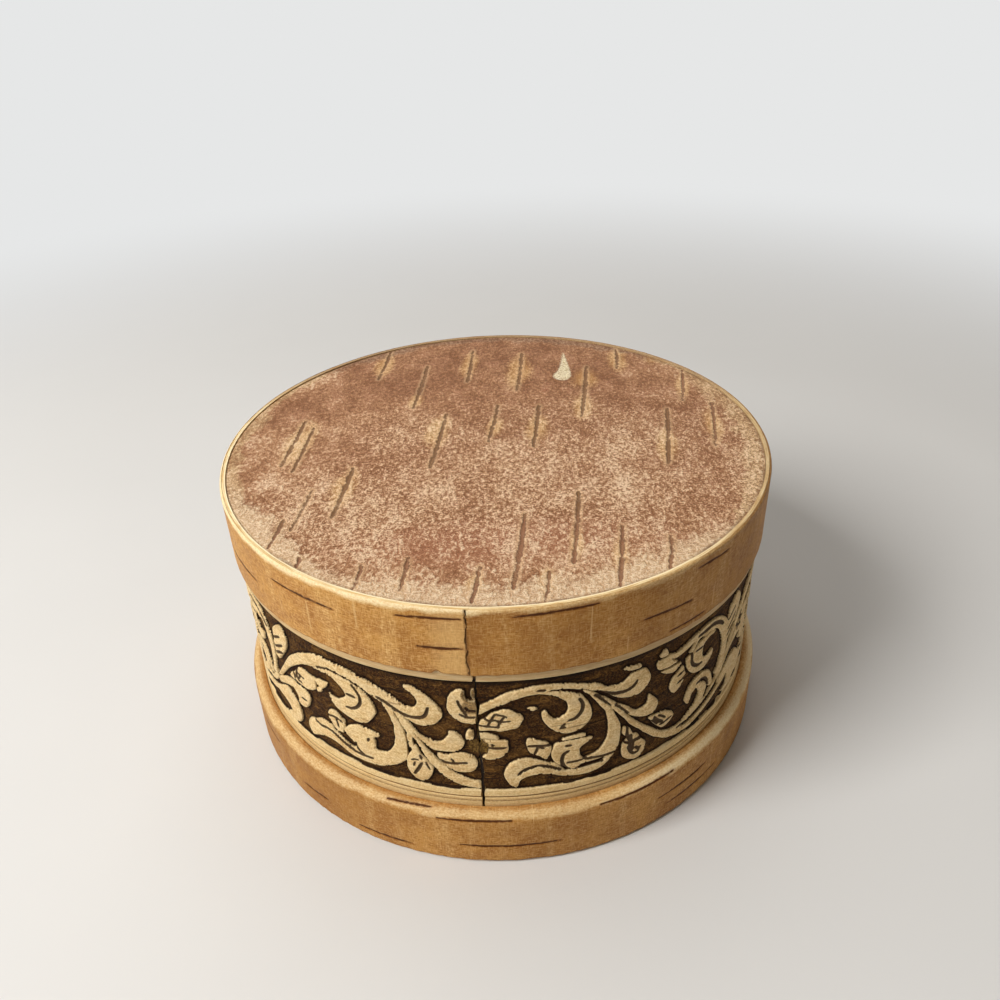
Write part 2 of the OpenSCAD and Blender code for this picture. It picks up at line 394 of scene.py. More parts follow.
def honeyBark():
    f = Finish(bpy.data.materials.new("honeyBark"))
    wrap = f.readPlace("wrap")
    cloud, fine = f.noise(wrap, 0.22, 4, 0.62, (0.7, 1, 0)), f.noise(wrap, 2.8, 3, 0.7)
    threads, cross = f.noise(wrap, 1.6, 3, 0.65, (0.6, 2.4, 0), 2), f.noise(wrap, 1.6, 3, 0.65, (2.6, 0.5, 0), -6)
    upright, scratch = f.noise(wrap, 0.33, 3, 0.6, (1.0, 0.09, 0)), f.noise(wrap, 1.0, 2, 0.5, (1, 0.06, 0), 16)
    slit, edge, worn, tint = f.reads("slit", "edge", "worn", "tint")
    wornAndHighlightTones = f.tones(fine * 0.5 + threads * 0.5, 0.36, 0.62, "D9AE70", "EED39E")
    colour = f.layered(f.tones(cloud, 0.36, 0.64, "A67034", "BF8A46"), {
        "light streak": (upright, 0.50, 0.64, 0.35, "D0A05F"),
        "dark streak": (upright + cloud * 0.4, 0.56, 0.44, 0.3, "90591F"),
        "thread": (threads, 0.50, 0.64, 0.5, "DDB272"),
        "cross thread": (cross, 0.52, 0.66, 0.45, "DDB272"),
        "between": (threads * 0.5 + cross * 0.5, 0.48, 0.39, 0.5, "7A4A18"),
        "worked": (f.step(upright, 0.55, 0.64) * f.step(threads * 0.6 + cross * 0.6, 0.58, 0.78, 0, 0.6), "E2BF82"),
        # lighter and darker follow the tint: the bark's own tone by the seam, and painted shade on the left and right
        # sides and over the whole base skin
        "lighter": (tint, 0.0, 1.0, 0.4, "DFB678"),
        "darker": (tint, 0.0, -1.0, 0.45, "7E4E1A"),
        "scratch": (scratch + tint * 0.05 + fine * 0.1, 0.71, 0.77, 0.4, "E4C084"),
        # worn and rubbed: the rounded top edges paler, partly real wear and partly a painted highlight
        "worn": (worn + fine * 0.5, 0.35, 1.15, 0.85, wornAndHighlightTones),
        "rubbedAndHighlight": (worn + fine * 0.35, 0.83, 1.27, 0.6, "FFEFC6"),
        "slit side": (slit + threads * 0.3, 0.55, 0.22, 0.45, "8A4E1C"),
        "slit": (slit + threads * 0.2, 0.24, 0.12, 1, "4E2A0A"),
        "edge": (edge + threads * 0.3, 0.42, 0.12, 0.6, "6E421A")})
    height = threads * 0.5 + cross * 0.4 + cloud * 0.3
    return f.finish(colour, f.step(cloud, 0.3, 0.7, 0.5, 0.6), height, 0.08, 0.15)


def paleBark():
    f = Finish(bpy.data.materials.new("paleBark"))
    wrap = f.readPlace("wrap")
    fibre, coarse = f.noise(wrap, 1.4, 4, 0.65, (0.16, 2.6, 0)), f.noise(wrap, 0.45, 3, 0.6, (0.4, 1, 0))
    grit = f.noise(wrap, 2.4, 3, 0.7)
    strip, bright, dull, dirt = f.reads("strip", "bright", "dull", "dirt")
    colour = f.layered(f.tones(fibre, 0.34, 0.66, "D6AC6C", "FAE4B0"), {
        "coarse": (coarse, 0.5, 0.7, 0.35, "C2924F"),
        "grit": (grit, 0.60, 0.70, 0.4, "96683A"),
        # strip: the ply below the skin greyer, partly its own tone and partly painted shade under the skin's edge
        "strip": (strip, 0, 1, 0.6, "A98860"),
        # bright: a pale line on the rim's top, partly the ply's cut edge and partly a painted highlight
        "bright": (bright + fibre * 0.4, 0.5, 1.1, 0.8, "FDEDC6"),
        "dull": (dull * 0.75, f.tones(grit, 0.4, 0.6, "7E5C40", "A98660")),
        # painted shade behind the skin's seam
        "dirt": (dirt, "2E1808")})
    return f.finish(colour, 0.62, fibre * 0.7 + coarse * 0.3 + grit * 0.3, 0.14, 0.25)


def carvedBark():
    f = Finish(bpy.data.materials.new("carvedBark"))
    wrap = f.readPlace("wrap")
    up = f.node("ShaderNodeSeparateXYZ", None, {"Vector": wrap}, out="Y")  # mm above the table
    grit, fine = f.noise(wrap, 3.0, 4, 0.7), f.noise(wrap, 4.5, 3, 0.7)
    streak, blotch = f.noise(wrap, 1.6, 4, 0.65, (0.25, 1.5, 0)), f.noise(wrap, 0.33, 3, 0.6, (0.6, 1, 0))
    long, mark = f.noise(wrap, 0.9, 2, 0.5, (0.07, 1.3, 0)), f.noise(wrap, 0.8, 2, 0.5, (0.08, 1.9, 0))
    swirl = f.noise(wrap, 0.9, 2, 0.5, (0.55, 1, 0), warp=0.6)
    carve, cut, stain = f.reads("carve", "cut", "stain")
    scribble = f.step(f.maths("ABSOLUTE", swirl - 0.5), 0.035, 0.0)
    border, raised = f.step(up, 15.9, 15.2), f.step(carve + grit * 0.06, -0.06, 0.01)
    ground = f.layered(f.tones(grit, 0.42, 0.66, "241104", "50300F"), {
        "blotch": (blotch + grit * 0.3, 0.62, 0.82, 0.5, "64441C"),
        "scribble": (scribble * f.step(blotch, 0.40, 0.58) * 0.6, "8A6230"),
        "speck": (fine, 0.55, 0.66, 0.55, "80602E"),
        "stain": (stain, 0.15, 0.6, 0.6, f.tones(streak, 0.4, 0.65, "503010", "7E5828")),
        "crack": (long, 0.60, 0.66, 0.75, "150903"),
        # painted shadow: the ground darkens to near black just under the lid's edge
        "under the lid": (up + grit, 38.9, 39.9, 0.85, "100602"),
        # painted shade: the ground darkens at the foot of each raised shape
        "painted shade at the foot of the cut": (carve + grit * 0.3, -0.45, -0.10, 0.75, "150903")})
    top = f.layered(f.tones(grit, 0.40, 0.62, "CDA469", "F2D6A0"), {
        "streak": (streak, 0.42, 0.62, 0.35, "F4DCAA"),
        "light blotch": (blotch, 0.48, 0.66, 0.4, "DCC49A"),
        "dark blotch": (blotch, 0.46, 0.32, 0.4, "B0884E"),
        "border": (border * 0.4, "EACB90"),
        "below the groove": (up, 14.0, 13.5, 0.35, "C09A62"),
        "mark": (mark, 0.66, 0.72, 0.6, "6A4219"),
        "stain": (stain * (grit + 0.5), 0.25, 0.7, 0.85, f.tones(fine, 0.45, 0.6, "4A2C0E", "9C7840")),
        # rim: the edges of the raised tops paler, partly rubbed wear and partly a painted highlight
        "rim": (f.step(carve + grit * 0.3, 0.36, 0.08, 0, 0.55) * f.step(carve, -0.06, 0.03), "EAD3A2")})
    colour = f.layered(f.mixed(raised, ground, top), {
        "cut": (cut + grit * 0.08, 0.24, 0.12, 0.93, f.mixed(border, "2C1505", "7C5830")),
        "ring of the knot": (stain, 0.85, 1.1, 0.85, "1E0E04"),
        "knot": (stain, 1.1, 1.4, 0.9, f.tones(grit, 0.4, 0.62, "3E2A10", "8A6A34"))})
    return f.finish(colour, f.step(raised, 0, 1, 0.8, 0.6), grit * 0.8 + streak * 0.3 + fine * 0.4, 0.16, 0.12)


def liningBark(name, placeName):
    f = Finish(bpy.data.materials.new(name))
    place = f.readPlace(placeName)
    cloud, grain = f.noise(place, 0.09, 4, 0.6), f.noise(place, 0.9, 4, 0.65, (0.3, 1, 1))
    fibre = f.noise(place, 1.2, 3, 0.6, (0.2, 2.4, 1))
    slit, dirt = f.reads("slit", "dirt")
    colour = f.layered(f.tones(cloud + grain * 0.4, 0.45, 0.85, "B07C48", "D0A26A"), {
        "fibre": (fibre, 0.5, 0.72, 0.4, "E2BE8C"),
        "slit side": (slit + grain * 0.3, 0.6, 0.25, 0.4, "8E5F34"),
        "slit": (slit, 0.10, -0.02, 0.9, "5A3518"),
        # painted shade behind the carved band's open seam
        "dirt": (dirt, "2A1608")})
    return f.finish(colour, 0.55, grain * 0.6 + fibre * 0.4, 0.10, 0.3)


def boardWood():
    f = Finish(bpy.data.materials.new("boardWood"))
    rings = f.noise(f.objectPlace(), 0.5, 5, 0.6, (0.12, 1, 1), warp=0.4)
    return f.finish(f.tones(rings, 0.35, 0.7, "CDAA78", "E6CFA2"), 0.6, rings, 0.08, 0.25)


red, honey, pale, carved, board = redBark(), honeyBark(), paleBark(), carvedBark(), boardWood()
neckLining, flatLining = liningBark("neckLining", "wrap"), liningBark("flatLining", "flat")
print("finishes made")


# Carved band

band = {"piece": ("carvedBand", "box", "carved_bark", carved, "carved_band"),
        "radius": 49.25, "inner": 48.2, "top": 40.0, "steps": (0.23, 0.465, 52),
        "depth": 0.5, "wall": 0.10, "serration": 0.04, "fieldRows": 91, "fieldLow": 15.3, "bevel": 0.12,
        "groove": (13.6, 13.9), "grooveDepth": 0.2, "scored": 12.95, "scoredDepth": 0.08, "cutDepth": 0.26,
        "seamGap": 0.52, "knotHeight": 25.4,  # a knot closes the seam there
        "scoredTone": 0.13, "grooveHalf": 0.2, "scoredHalf": 0.16,
        # mm round the band: where the seen part ends and starts again, and what the four unseen repeats take from it
        "seenTo": 42.6, "seenFrom": 262.45, "unseenRepeats": 4, "unseenFrom": 89.6, "unseenShift": 90,
        "repeatShapesFrom": 12, "repeatCutsFrom": 14,
        # teeth along the first arch: spacing, height, and the stretches in which they come and go
        "comb": {"spacing": 0.52, "height": 0.5, "come": (-42, -37), "go": (-14, -17), "middle": -28, "top": 33.3}}
bandLength = 2 * math.pi * band["radius"]

# outlines and cuts of the scrolls, as x,y, x,y, ... in mm round the band from the front and above the table
rightShapes = [
    # arch with its crescent
    [-4.4,34.3, -3.3,34.9, -2,35.7, -0.9,36.4, 0.5,37.2, 2.5,37.6, 4.5,38.1, 7,38, 8.5,37.8, 10,37.5, 11.5,37.1,
     13,36.6, 14.4,36.1, 15.3,35.3, 14.4,35, 13.3,35.4, 12.3,36, 11.3,36.2, 9.8,36.7, 8.3,36.9, 7,37, 6.4,36.3,
     5,36.5, 3.5,36.4, 2.3,36.1, 1,35.6, -0.5,34.8, -2,34.2, -3.4,33.3, -4.4,32.8],
    [5.9,36.4, 7.6,35.6, 8.8,34.7, 9.5,33.9, 9.85,32.6, 9.6,31.5, 9,31, 7.9,30.5, 7.2,30.9, 6.6,31.7, 6.1,32.7,
     5.6,32.3, 5.7,31, 6.3,29.7, 7.1,28.6, 8,27.8, 9,27.3, 10,27.1, 11.2,27.3, 12.3,27.9, 13.2,28.8, 13.6,29.8,
     13.6,30.9, 13.3,32.2, 12.6,33.6, 11.8,34.8, 10.6,35.5, 9.2,36.1, 7.4,36.5],
    # curled leaf and the dash above it
    [13.8,36.5, 15,36, 16,35.1, 17,34.8, 18,34.6, 19,34.8, 19.8,35.4, 20.8,36, 22,36.1, 23.2,36, 23.7,35.2,
     24.1,34.2, 24,33.2, 23.5,32.2, 22.7,31.6, 21.7,31.2, 20.6,31.2, 19.5,31.5, 18.5,31.9, 17.3,32.7, 16.2,33.6,
     15,34.6, 14.2,35.2],
    [19,37.5, 20,37.7, 21.3,37.5, 22.2,37.2, 22,36.8, 20.8,36.8, 19.8,37.1],
    # stem with its hook
    [12.2,35.6, 13.1,35.2, 14.2,34.4, 15,33.6, 16.2,32.6, 17,31.8, 18,30.8, 18.9,30.1, 19.8,29.4, 20.4,28.8, 21,28.1,
     22,27.5, 23,27.5, 23.9,27.9, 24.1,28.7, 24.2,29.8, 25,29, 25.8,28, 26.1,27.2, 25.9,26.3, 25.4,25.5, 24.6,25.3,
     23.6,25.4, 22.6,25.8, 21.6,26.4, 20.7,27, 19.9,27.8, 18.9,28.9, 17.6,30.2, 16.4,31.4, 15,32.9, 13.7,34,
     12.6,35],
    # long S stem
    [17,30.3, 18,29, 19,27.5, 19.7,26.6, 20.4,25.4, 21,24.6, 21.8,23.7, 22.6,22.9, 23.4,21.9, 24.4,20.8, 25.4,19.7,
     26.5,18.8, 27.7,17.9, 29,17.2, 30.5,16.7, 32.5,16.4, 34.5,16.3, 36.5,16.7, 38.5,17.2, 40.5,17.9, 43,18.8,
     46,19.6, 46,20.5, 43,19.9, 40.5,18.9, 38,18.1, 35.5,17.6, 33.5,17.4, 32,17.6, 33.5,18.4, 35.5,19, 37,19.4,
     39,20, 41,21, 43,22.1, 44.2,23.4, 42.6,23.6, 41.2,22.5, 39.5,21, 38.6,20.2, 37.9,20.7, 38.6,22.5, 38.3,23.8,
     37.4,24.6, 36,25.1, 35.4,24.7, 36.3,23.6, 36.4,22.5, 36,21.6, 35,20.5, 33.4,19.4, 32,18.8, 30.5,18.6, 29,18.9,
     27.5,19.6, 26.4,20.5, 25,21.9, 23.3,23.5, 22.2,24.7, 21.1,26, 20,27.3, 19,28.7, 18.3,29.7, 17.4,30.7],
    # C scroll
    [13.3,34.3, 14.2,33, 15.2,31.3, 16,30, 16.4,28.6, 16.7,26.6, 16.7,24.6, 16.3,23.1, 15.6,21.9, 14.8,21.1,
     13.4,20.6, 12.6,20.3, 11.6,19.4, 13,19.4, 15.6,19.5, 16.3,19.1, 15.6,18.6, 14,18.5, 12.5,18.4, 11,18.3,
     9.2,18.5, 8.2,19, 7,19.6, 6,20, 5,20.3, 3.5,20, 2.5,19.5, 1.5,18.9, 1.2,18, 1.6,17.2, 1.3,16, 0.3,16.6,
     -0.2,17.5, -0.6,18.6, -0.6,19.5, -0.3,20.4, 0.2,21.2, 1,22, 2,22.4, 3,22.45, 4,22.2, 5,21.8, 6.6,20.9, 8,20.2,
     9.6,18.2, 11,17.4, 12.5,16.8, 14,16.9, 15.3,17.3, 16.5,18, 17.3,18.9, 17.9,19.8, 18.5,21, 18.8,22.5, 18.8,24,
     18.8,25.5, 18.4,27, 17.8,28.3, 17.1,30.2, 16,31.9, 14.8,33.6],
    [1.5,18.8, 2.5,19.4, 3.5,19.9, 5,20.2, 6.5,19.7, 8,19, 9.5,18.4, 11,18.2, 12.5,18.3, 14,18.4, 15.6,18.5,
     16.6,18.9, 16.4,17.9, 15.3,17.2, 14,16.9, 12.5,16.8, 11,17, 9.5,17.3, 8.3,17.7, 7.2,18.2, 6,18.5, 4.7,18.6,
     3.4,18.5, 2.4,18, 1.8,17.4, 1.3,16.2, 0.5,17],
    # pointed leaf
    [7.8,25, 7.3,24, 7.1,22.8, 7.3,21.6, 7.8,20.7, 8.5,20, 9.2,19.2, 10.5,18.6, 11.6,19, 12.4,20.1, 11.9,21.3,
     11.7,22.3, 11.8,23.2, 12.6,23.9, 14,24.8, 12.5,25.1, 10.5,25.2, 9,25.2],
    [8.6,25.7, 10.5,25.6, 12.8,25.7, 12.2,26.1, 10,26.1],
    # veined oval
    [3.3,26.9, 4.2,26.7, 5.2,26.2, 6.2,25.7, 6.8,25.1, 7.05,24.4, 6.9,23.6, 6.7,22.9, 6.3,22.1, 5.7,22.2, 5.1,22.9,
     4.3,23.3, 3.8,23.6, 3.3,24.6, 3.1,25.5, 3.1,26.2],
    # buds by the seam
    [-4.4,29.9, -4,31.3, -3.4,31.7, -2.8,32.3, -2.2,33, -1.2,33.3, -0.4,33.6, 0.6,33.5, 1.4,32.9, 2.3,32.3,
     2.65,31.6, 2.4,31, 1.8,29.8, 0.8,29.5, -0.9,29.1, -1.8,29.3, -3,29.4, -4.3,29.3],
    [-4.4,27.7, -4.3,28.6, -3.4,28.6, -2.3,28.3, -1.3,27.6, -1.2,27.3, -2.8,27.4, -4.3,27.5],
    [-3.9,27, -0.2,26.9, 0.05,26, 0.15,25.2, 0,24.4, -0.6,23.6, -1.4,23.1, -2.5,22.8, -3.5,22.9, -4,23.3, -3.2,24.1,
     -3,24.9, -3.1,25.6, -3.6,26.3],
    [3.3,33.6, 4,33.2, 4.8,33.15, 4.6,33.6, 3.9,33.75],
    # hanging buds
    [19.5,24.8, 19.4,23.5, 19.7,22.8, 20.3,22, 19.6,21, 19.3,20, 19.6,18, 20.3,17.1, 21.2,16.5, 22.3,16.2, 23.2,16.6,
     23.8,17.5, 24,18.6, 23.9,19.4, 23.3,20.1, 22.9,20.8, 22.2,22, 21.4,22.4, 21,23.2, 20.6,24],
    [24.4,24.4, 25.6,24.5, 26.8,24.3, 28,24, 28.8,23.4, 29.6,22.9, 30,22.2, 29.7,21.6, 29,21, 28.2,20.6, 27.4,20.6,
     26.9,21, 26,22, 25.3,22.9, 24.8,23.8],
    # three-lobed leaf and its long arch
    [26.5,37.8, 27,38.2, 27.5,37.2, 27.3,36.7, 26,36.9],
    [25.6,36, 25.5,35.2, 25.9,34.3, 27.5,33.95, 29.5,34, 29.9,34.2, 29,34.7, 28.4,35.3, 28.3,36.3, 27.2,36.2],
    [26.4,33.5, 27.3,32.8, 28.3,32.3, 29.3,32.2, 30,32.6, 31,33.2, 30,33.4, 28.5,33.4],
    [27.8,36.6, 29,36.1, 30.4,36.2, 31.5,36.6, 32.8,37, 34,37.3, 36,37.6, 38,37.6, 40,37.2, 42,36.2, 43.3,35,
     44.2,33.6, 44.8,32, 45,30.3, 44.8,28.6, 44.4,27, 43.9,25.3, 43.8,23.8, 42.4,23.3, 41.2,23.8, 42,25, 42.5,26.5,
     42.9,28, 43,29.9, 42.5,31.4, 41.7,33, 40.8,34.3, 39.8,35.1, 38.2,35.6, 36.8,35.5, 35.4,35.9, 34.2,36, 33,35.8,
     31.8,35.5, 30.6,35.2, 29.3,35.1, 28.5,35.4],
    [31.3,32.2, 30.5,31.6, 29.6,31, 28.9,30.3, 28.6,29.2, 28.8,28.2, 29.2,27.5, 29.7,27.2, 30.4,27.5, 31.2,28.3,
     31.8,29.3, 32,30.2, 31.7,31],
    # crescent under the arch, and the small C below it
    [32.1,33.3, 32.2,31.8, 32.7,30.5, 33.5,29.4, 34.5,28.7, 35.7,28.3, 37,28.3, 38.6,29, 39.4,30.1, 39.3,31,
     38.3,30.7, 37.5,30.6, 36.8,30.7, 36.3,31.3, 36.1,32, 36.2,33.5, 36.8,34.2, 38,34.6, 39.8,34.5, 38.8,35.3,
     36.8,35.2, 35.2,34.9, 34.2,34.2, 33.2,33.6],
    [32.6,34.2, 33.4,34, 34.6,35.6, 35.2,36.3, 34.2,35.8, 33.2,34.8],
    [32.7,23.3, 32.9,24.6, 33.3,25.6, 34.2,26.6, 35.3,27.1, 36.7,27.2, 38,26.9, 39,26.2, 39.7,25.2, 40.1,24, 40.4,23,
     40.6,22.2, 39.2,22.4, 39,23.4, 38.4,24.5, 37.3,25.2, 36,25.1, 35,24.5, 34.2,24, 33.9,23, 33.5,22.2],
]

rightCuts = [  # half width, line
    (0.15, [7.2,36.8, 8.4,36.6, 9.1,36.4, 10,36.05, 10.8,35.7, 11.8,35.2, 12.6,34.9]), (0.12, [14,34.2, 15,33.1,
    16,31.9, 16.9,30.8]), (0.1, [17.6,30.8, 18.6,29.7, 19.5,28.6, 20.3,27.6]), (0.15, [4.9,37.2, 5.5,37.2,
    6.1,37.1]), (0.22, [11.5,34.2, 12,33.2, 12.1,32.3, 11.9,31.4, 11.3,30.5, 10.6,30, 9.8,29.85]), (0.13, [9.2,29.3,
    8.7,28.9]), (0.13, [8.4,28.5, 9.3,28.5]), (0.24, [14.4,34.9, 15.1,34.4, 16,33.9, 17.2,33.35, 18.4,33.05,
    19.5,32.95, 20.6,33.25, 21.2,33.75, 21.5,34.3]), (0.3, [1.6,18.9, 2.7,19.95, 4,20.45, 5.2,20.5, 6.5,20.1,
    7.6,19.5, 8.5,18.9]), (0.22, [9.9,23, 9.1,22.5, 8.75,21.4, 8.85,20.3, 9.4,19.2, 10.3,18.6]), (0.14, [9.6,20.35,
    11,20.25, 12.2,20.3]), (0.13, [12.6,20.2, 14.6,20.05, 16.4,19.85, 18,19.95]), (0.11, [9.3,24.25, 10.3,24.2]),
    (0.22, [10.8,18.6, 13,18.7, 15.8,18.6]), (0.13, [3.3,25.4, 5,25.25, 6.9,25]), (0.13, [4.8,24.9, 4.6,24.2,
    4.3,23.5]), (0.1, [5.3,24.8, 5.8,24.5]), (0.09, [-1.6,32.75, -0.7,32.55, 0.1,32.1]), (0.1, [-3.4,31.8,
    -2.5,31.45, -1.7,31.55, -0.9,31.15, 0.6,31.3]), (0.1, [-4.4,30.5, -3.4,30.3, -2.4,30.15, -1.2,30]),
    (0.09, [-1.8,32.8, -2.4,31.5, -3,30.2]), (0.09, [-0.2,32.4, -0.9,31.3, -1.4,29.9]), (0.13, [-3.1,25.45,
    -1.6,25.35, -0.3,25.4]), (0.1, [-2.5,26.2, -2.1,25.9]), (0.16, [20.2,24.7, 20.15,23.4, 20.3,22.4, 20.7,21.3]),
    (0.12, [19.5,22.5, 20.3,22.1, 21,22.2]), (0.17, [19.8,21.2, 20.6,20.7, 21.6,20.6, 22.7,20.75, 23.3,20.5]),
    (0.19, [20.4,19.9, 20.9,18.7, 21.4,17.95, 22,17.6, 22.7,17.9]), (0.3, [20.8,22.4, 20.9,21.5, 21,20.6]),
    (0.26, [21.2,20.7, 22.2,20.9, 23,21]), (0.28, [20.8,20.4, 20.9,19.4, 21.3,18.4]), (0.14, [21.6,20.6, 21.4,19.6,
    21.6,18.8]), (0.2, [22,19.1, 22.5,18.5, 23,18.7]), (0.24, [25.5,24, 26,23.2, 26.6,22.6, 27.4,22]),
    (0.12, [25.1,23.6, 25.8,22.8, 26.3,22.1]), (0.13, [26.8,21.6, 27.8,21.6, 29.4,22]), (0.11, [26.4,24, 27.3,23.3,
    28,22.6]), (0.25, [33.3,33.7, 33.3,32.4, 33.6,31.3, 34.3,30.5, 35.2,30, 36.2,29.9]), (0.1, [34.2,33.5, 36,33.5]),
    (0.3, [34.6,36.6, 36.4,36.6, 38.2,36.7, 39.8,36.3, 41.2,35.5, 42.2,34.5]), (0.28, [35.4,25.5, 36.5,25.7,
    37.6,25.3, 38.4,24.4, 38.9,23.4, 39,22.5]), (0.14, [30.2,30.6, 31.4,31]), (0.14, [30.2,29, 31.2,29.3,
    31.9,29.8]), (0.15, [31,18.1, 33,18.2, 35,18.6])
]

leftShapes = [
    # serrated arch
    [-46.8,24.1, -45.7,25.5, -44.8,26.7, -43.9,27.9, -43,29.1, -42,30.5, -41.1,31.7, -40.2,32.6, -39.2,33.4,
     -38.2,34.3, -37,35.1, -36,35.7, -35,36.1, -34,36.6, -33,36.9, -31.5,37.1, -30,37.1, -28,37.1, -26.5,37,
     -25.5,36.9, -24.5,36.4, -23,36.3, -22,35.9, -21,35.5, -19,34.6, -18,34, -17,33.3, -16,32.8, -15,32.7, -14.4,33,
     -14,33.7, -13.9,34.6, -14.3,35.4, -15,36.2, -16.2,37.1, -15,37.3, -14,37, -13,36.3, -12.2,35.7, -11.5,35,
     -10.7,34, -10.2,33.1, -10,32.2, -10.3,31.3, -10.9,30.4, -11.8,29.8, -12.8,29.4, -13.8,29.3, -14.9,29.6,
     -15.8,30.1, -17.2,31, -19,31.8, -20.4,32.6, -22,33.4, -23.8,34.4, -25.4,35, -27,35.3, -29.8,35.6, -31.5,34.7,
     -33,34.2, -34.6,33.8, -36,33.2, -37.3,32.5, -38.5,31.7, -39.6,30.8, -40.8,29.8, -42,28.6, -43.1,27.4,
     -44.2,26.1, -45.5,24.7],
    # crescent inside the arch
    [-33.6,33.9, -32.5,34, -31,34.1, -29.7,33.9, -28.6,33.3, -27.7,32.5, -27.1,31.5, -27.2,30.8, -27.8,30.1,
     -28.6,29.5, -29.3,29.2, -30.2,29.4, -30.9,29.9, -30.8,29.2, -30.5,28.3, -29.8,27.4, -28.8,26.9, -27.5,26.4,
     -26.3,26.1, -25.2,26, -24.1,26.3, -23.2,26.8, -22.2,28.3, -21.6,29.3, -21.6,30.3, -21.8,31, -22.4,32.2,
     -23.4,33.2, -25,34.2, -27,34.7, -29.6,35.1, -31.6,34.8],
    # C scroll with the pointed leaf in it
    [-20,32.3, -19.4,31.1, -18.9,29.9, -18.7,28.9, -18.4,27.9, -18.5,26.8, -18.4,25.5, -18.6,24.4, -18.8,23.3,
     -19.3,22.2, -19.9,21.3, -20.8,20.7, -22,20.5, -22.6,21, -22.4,22.3, -22.7,23.2, -22.3,23.8, -21.3,24.2,
     -22.8,24.8, -24.5,24.9, -25.5,25, -26.6,24.5, -27.5,24, -28.1,23.3, -28.6,22.6, -28.6,22, -27.8,21.3,
     -26.9,20.4, -26.6,19.4, -27.6,18.9, -28.7,19.4, -30,20.2, -31.2,21, -31.5,21.6, -32.5,21.9, -34,21.8, -35,21.3,
     -36,20.7, -37.4,20, -38.1,18.9, -38.3,17.8, -38,16.8, -37.5,16.2, -36.8,16.4, -35.8,17, -34.7,17.6, -33.3,18.1,
     -31.8,18.2, -30.5,17.9, -29.3,17.5, -28,17, -26,16.8, -24,16.8, -22.4,17, -21,17.5, -19.8,18.2, -18.6,18.9,
     -17.6,19.7, -16.9,20.5, -16.7,21.3, -16.6,22.5, -16.6,25, -16.8,27, -17.4,28.8, -18.2,30.4, -18.4,31.8],
    # veined oval
    [-30.5,25.9, -29.7,25.6, -29.2,25, -28.4,24.1, -28.6,23, -29,22, -29.2,21.4, -30,21.4, -31,21.9, -31.5,22.8,
     -32,23.8, -31.9,24.9, -31.4,25.6],
    # hatched bud and its small leaf
    [-38.3,31.2, -37,31.6, -35.8,31.3, -33.5,31.2, -34,30.4, -34,29.6, -34.3,28.7, -35,28.1, -36,27.6, -37,27.4,
     -38.3,27.4, -39.6,27.5, -41.4,27.5, -41,28.4, -40,29.2, -38.9,30.3],
    [-33.4,31.4, -31.2,31.6, -31.7,30.5, -32.6,29.9, -33.5,30.3],
    [-33.8,29.3, -33.2,29.5, -32.7,29.2, -33.1,28.7, -33.7,28.7],
    # far leaf, hook and veined oval
    [-42.3,37.9, -41.4,37.5, -40.7,36.7, -40.5,35.8, -40.7,34.8, -41,33.9, -41.6,33, -42.3,32, -43.5,30.5,
     -44.5,29.3, -45.4,29.5, -45.5,31.5, -45.3,33.8, -44.8,36, -44,36.9],
    [-46.6,23.6, -45,24.7, -44,25.4, -43,25.9, -42,26.3, -40,26.5, -38,26.5, -37,26.1, -36.3,25.5, -36.6,24.4,
     -37.3,23, -38,22.2, -39,21.8, -40.3,22, -40,23, -40.4,24, -41.3,24.6, -43,24.2, -45,23.2, -46.8,22.4],
    [-49,19.9, -47,21.1, -45.5,22.2, -44,22.75, -42.9,22.6, -41.4,21.5, -40.6,20.2, -40.3,18.7, -40.6,17.4,
     -41.5,16.2, -43,15.7, -44.8,15.6, -45.4,16.2, -44.2,16.8, -43.8,17.5, -44.4,18.3, -45.6,18.8, -47,19, -50,19.3],
]

leftCuts = [
    (0.12, [-41.5,28.4, -40.6,29.3, -39.7,30.2, -38.8,31, -37.9,31.7, -36.8,32.2]), (0.14, [-50,20, -48.5,20.9,
    -47.2,21.7, -46.3,22.2]), (0.18, [-32.8,34.6, -31,35.1, -29.8,35.35, -28,35.2, -26,34.9, -24.4,34.4]),
    (0.24, [-20.9,33.4, -19.5,32.8, -18.3,32.05, -17.2,31.35, -16,30.9, -14.6,30.8, -13.3,31.15, -12.6,32,
    -12.2,33.4]), (0.2, [-25.5,34, -24.7,33.1, -24.2,32, -24.2,31, -24.5,30.2, -25.2,29.3, -26.2,28.7, -27.3,28.5]),
    (0.2, [-26.8,31.6, -25.2,31.5]), (0.15, [-23.6,22.9, -23.9,22.2]), (0.18, [-26.5,20.6, -26.5,19.7, -25.9,18.9,
    -25,18.3]), (0.14, [-32,24.1, -31.2,24.4, -30,24.5, -28.9,24.1]), (0.12, [-30.2,24.2, -29.9,22.4]),
    (0.22, [-35.8,20.5, -34.4,20.2, -33,20.45, -31.6,20.3, -30.3,19.6, -29,18.9, -27.4,18.4, -25.6,18.1,
    -23.4,18.3]), (0.15, [-39.6,30.4, -38.9,29.95, -38.1,29.65, -37.1,29.45]), (0.15, [-38.4,31.2, -38.9,30.1,
    -39.1,29, -38.8,27.9]), (0.13, [-40.8,29.2, -39.8,28.8, -38.9,28.3, -37.9,28]), (0.12, [-40.1,29.7, -40,28.7,
    -39.8,27.7]), (0.1, [-38,29.6, -38.4,28.9, -38.8,28.4]), (0.13, [-38.9,23.9, -37.5,24.1]), (0.15, [-42.7,35.3,
    -43.9,34.6, -45.1,33.8]), (0.15, [-42.3,33.6, -43.7,32.7, -45.2,31.8]), (0.2, [-42.9,31.6, -44.2,31, -45.2,30.3])
]

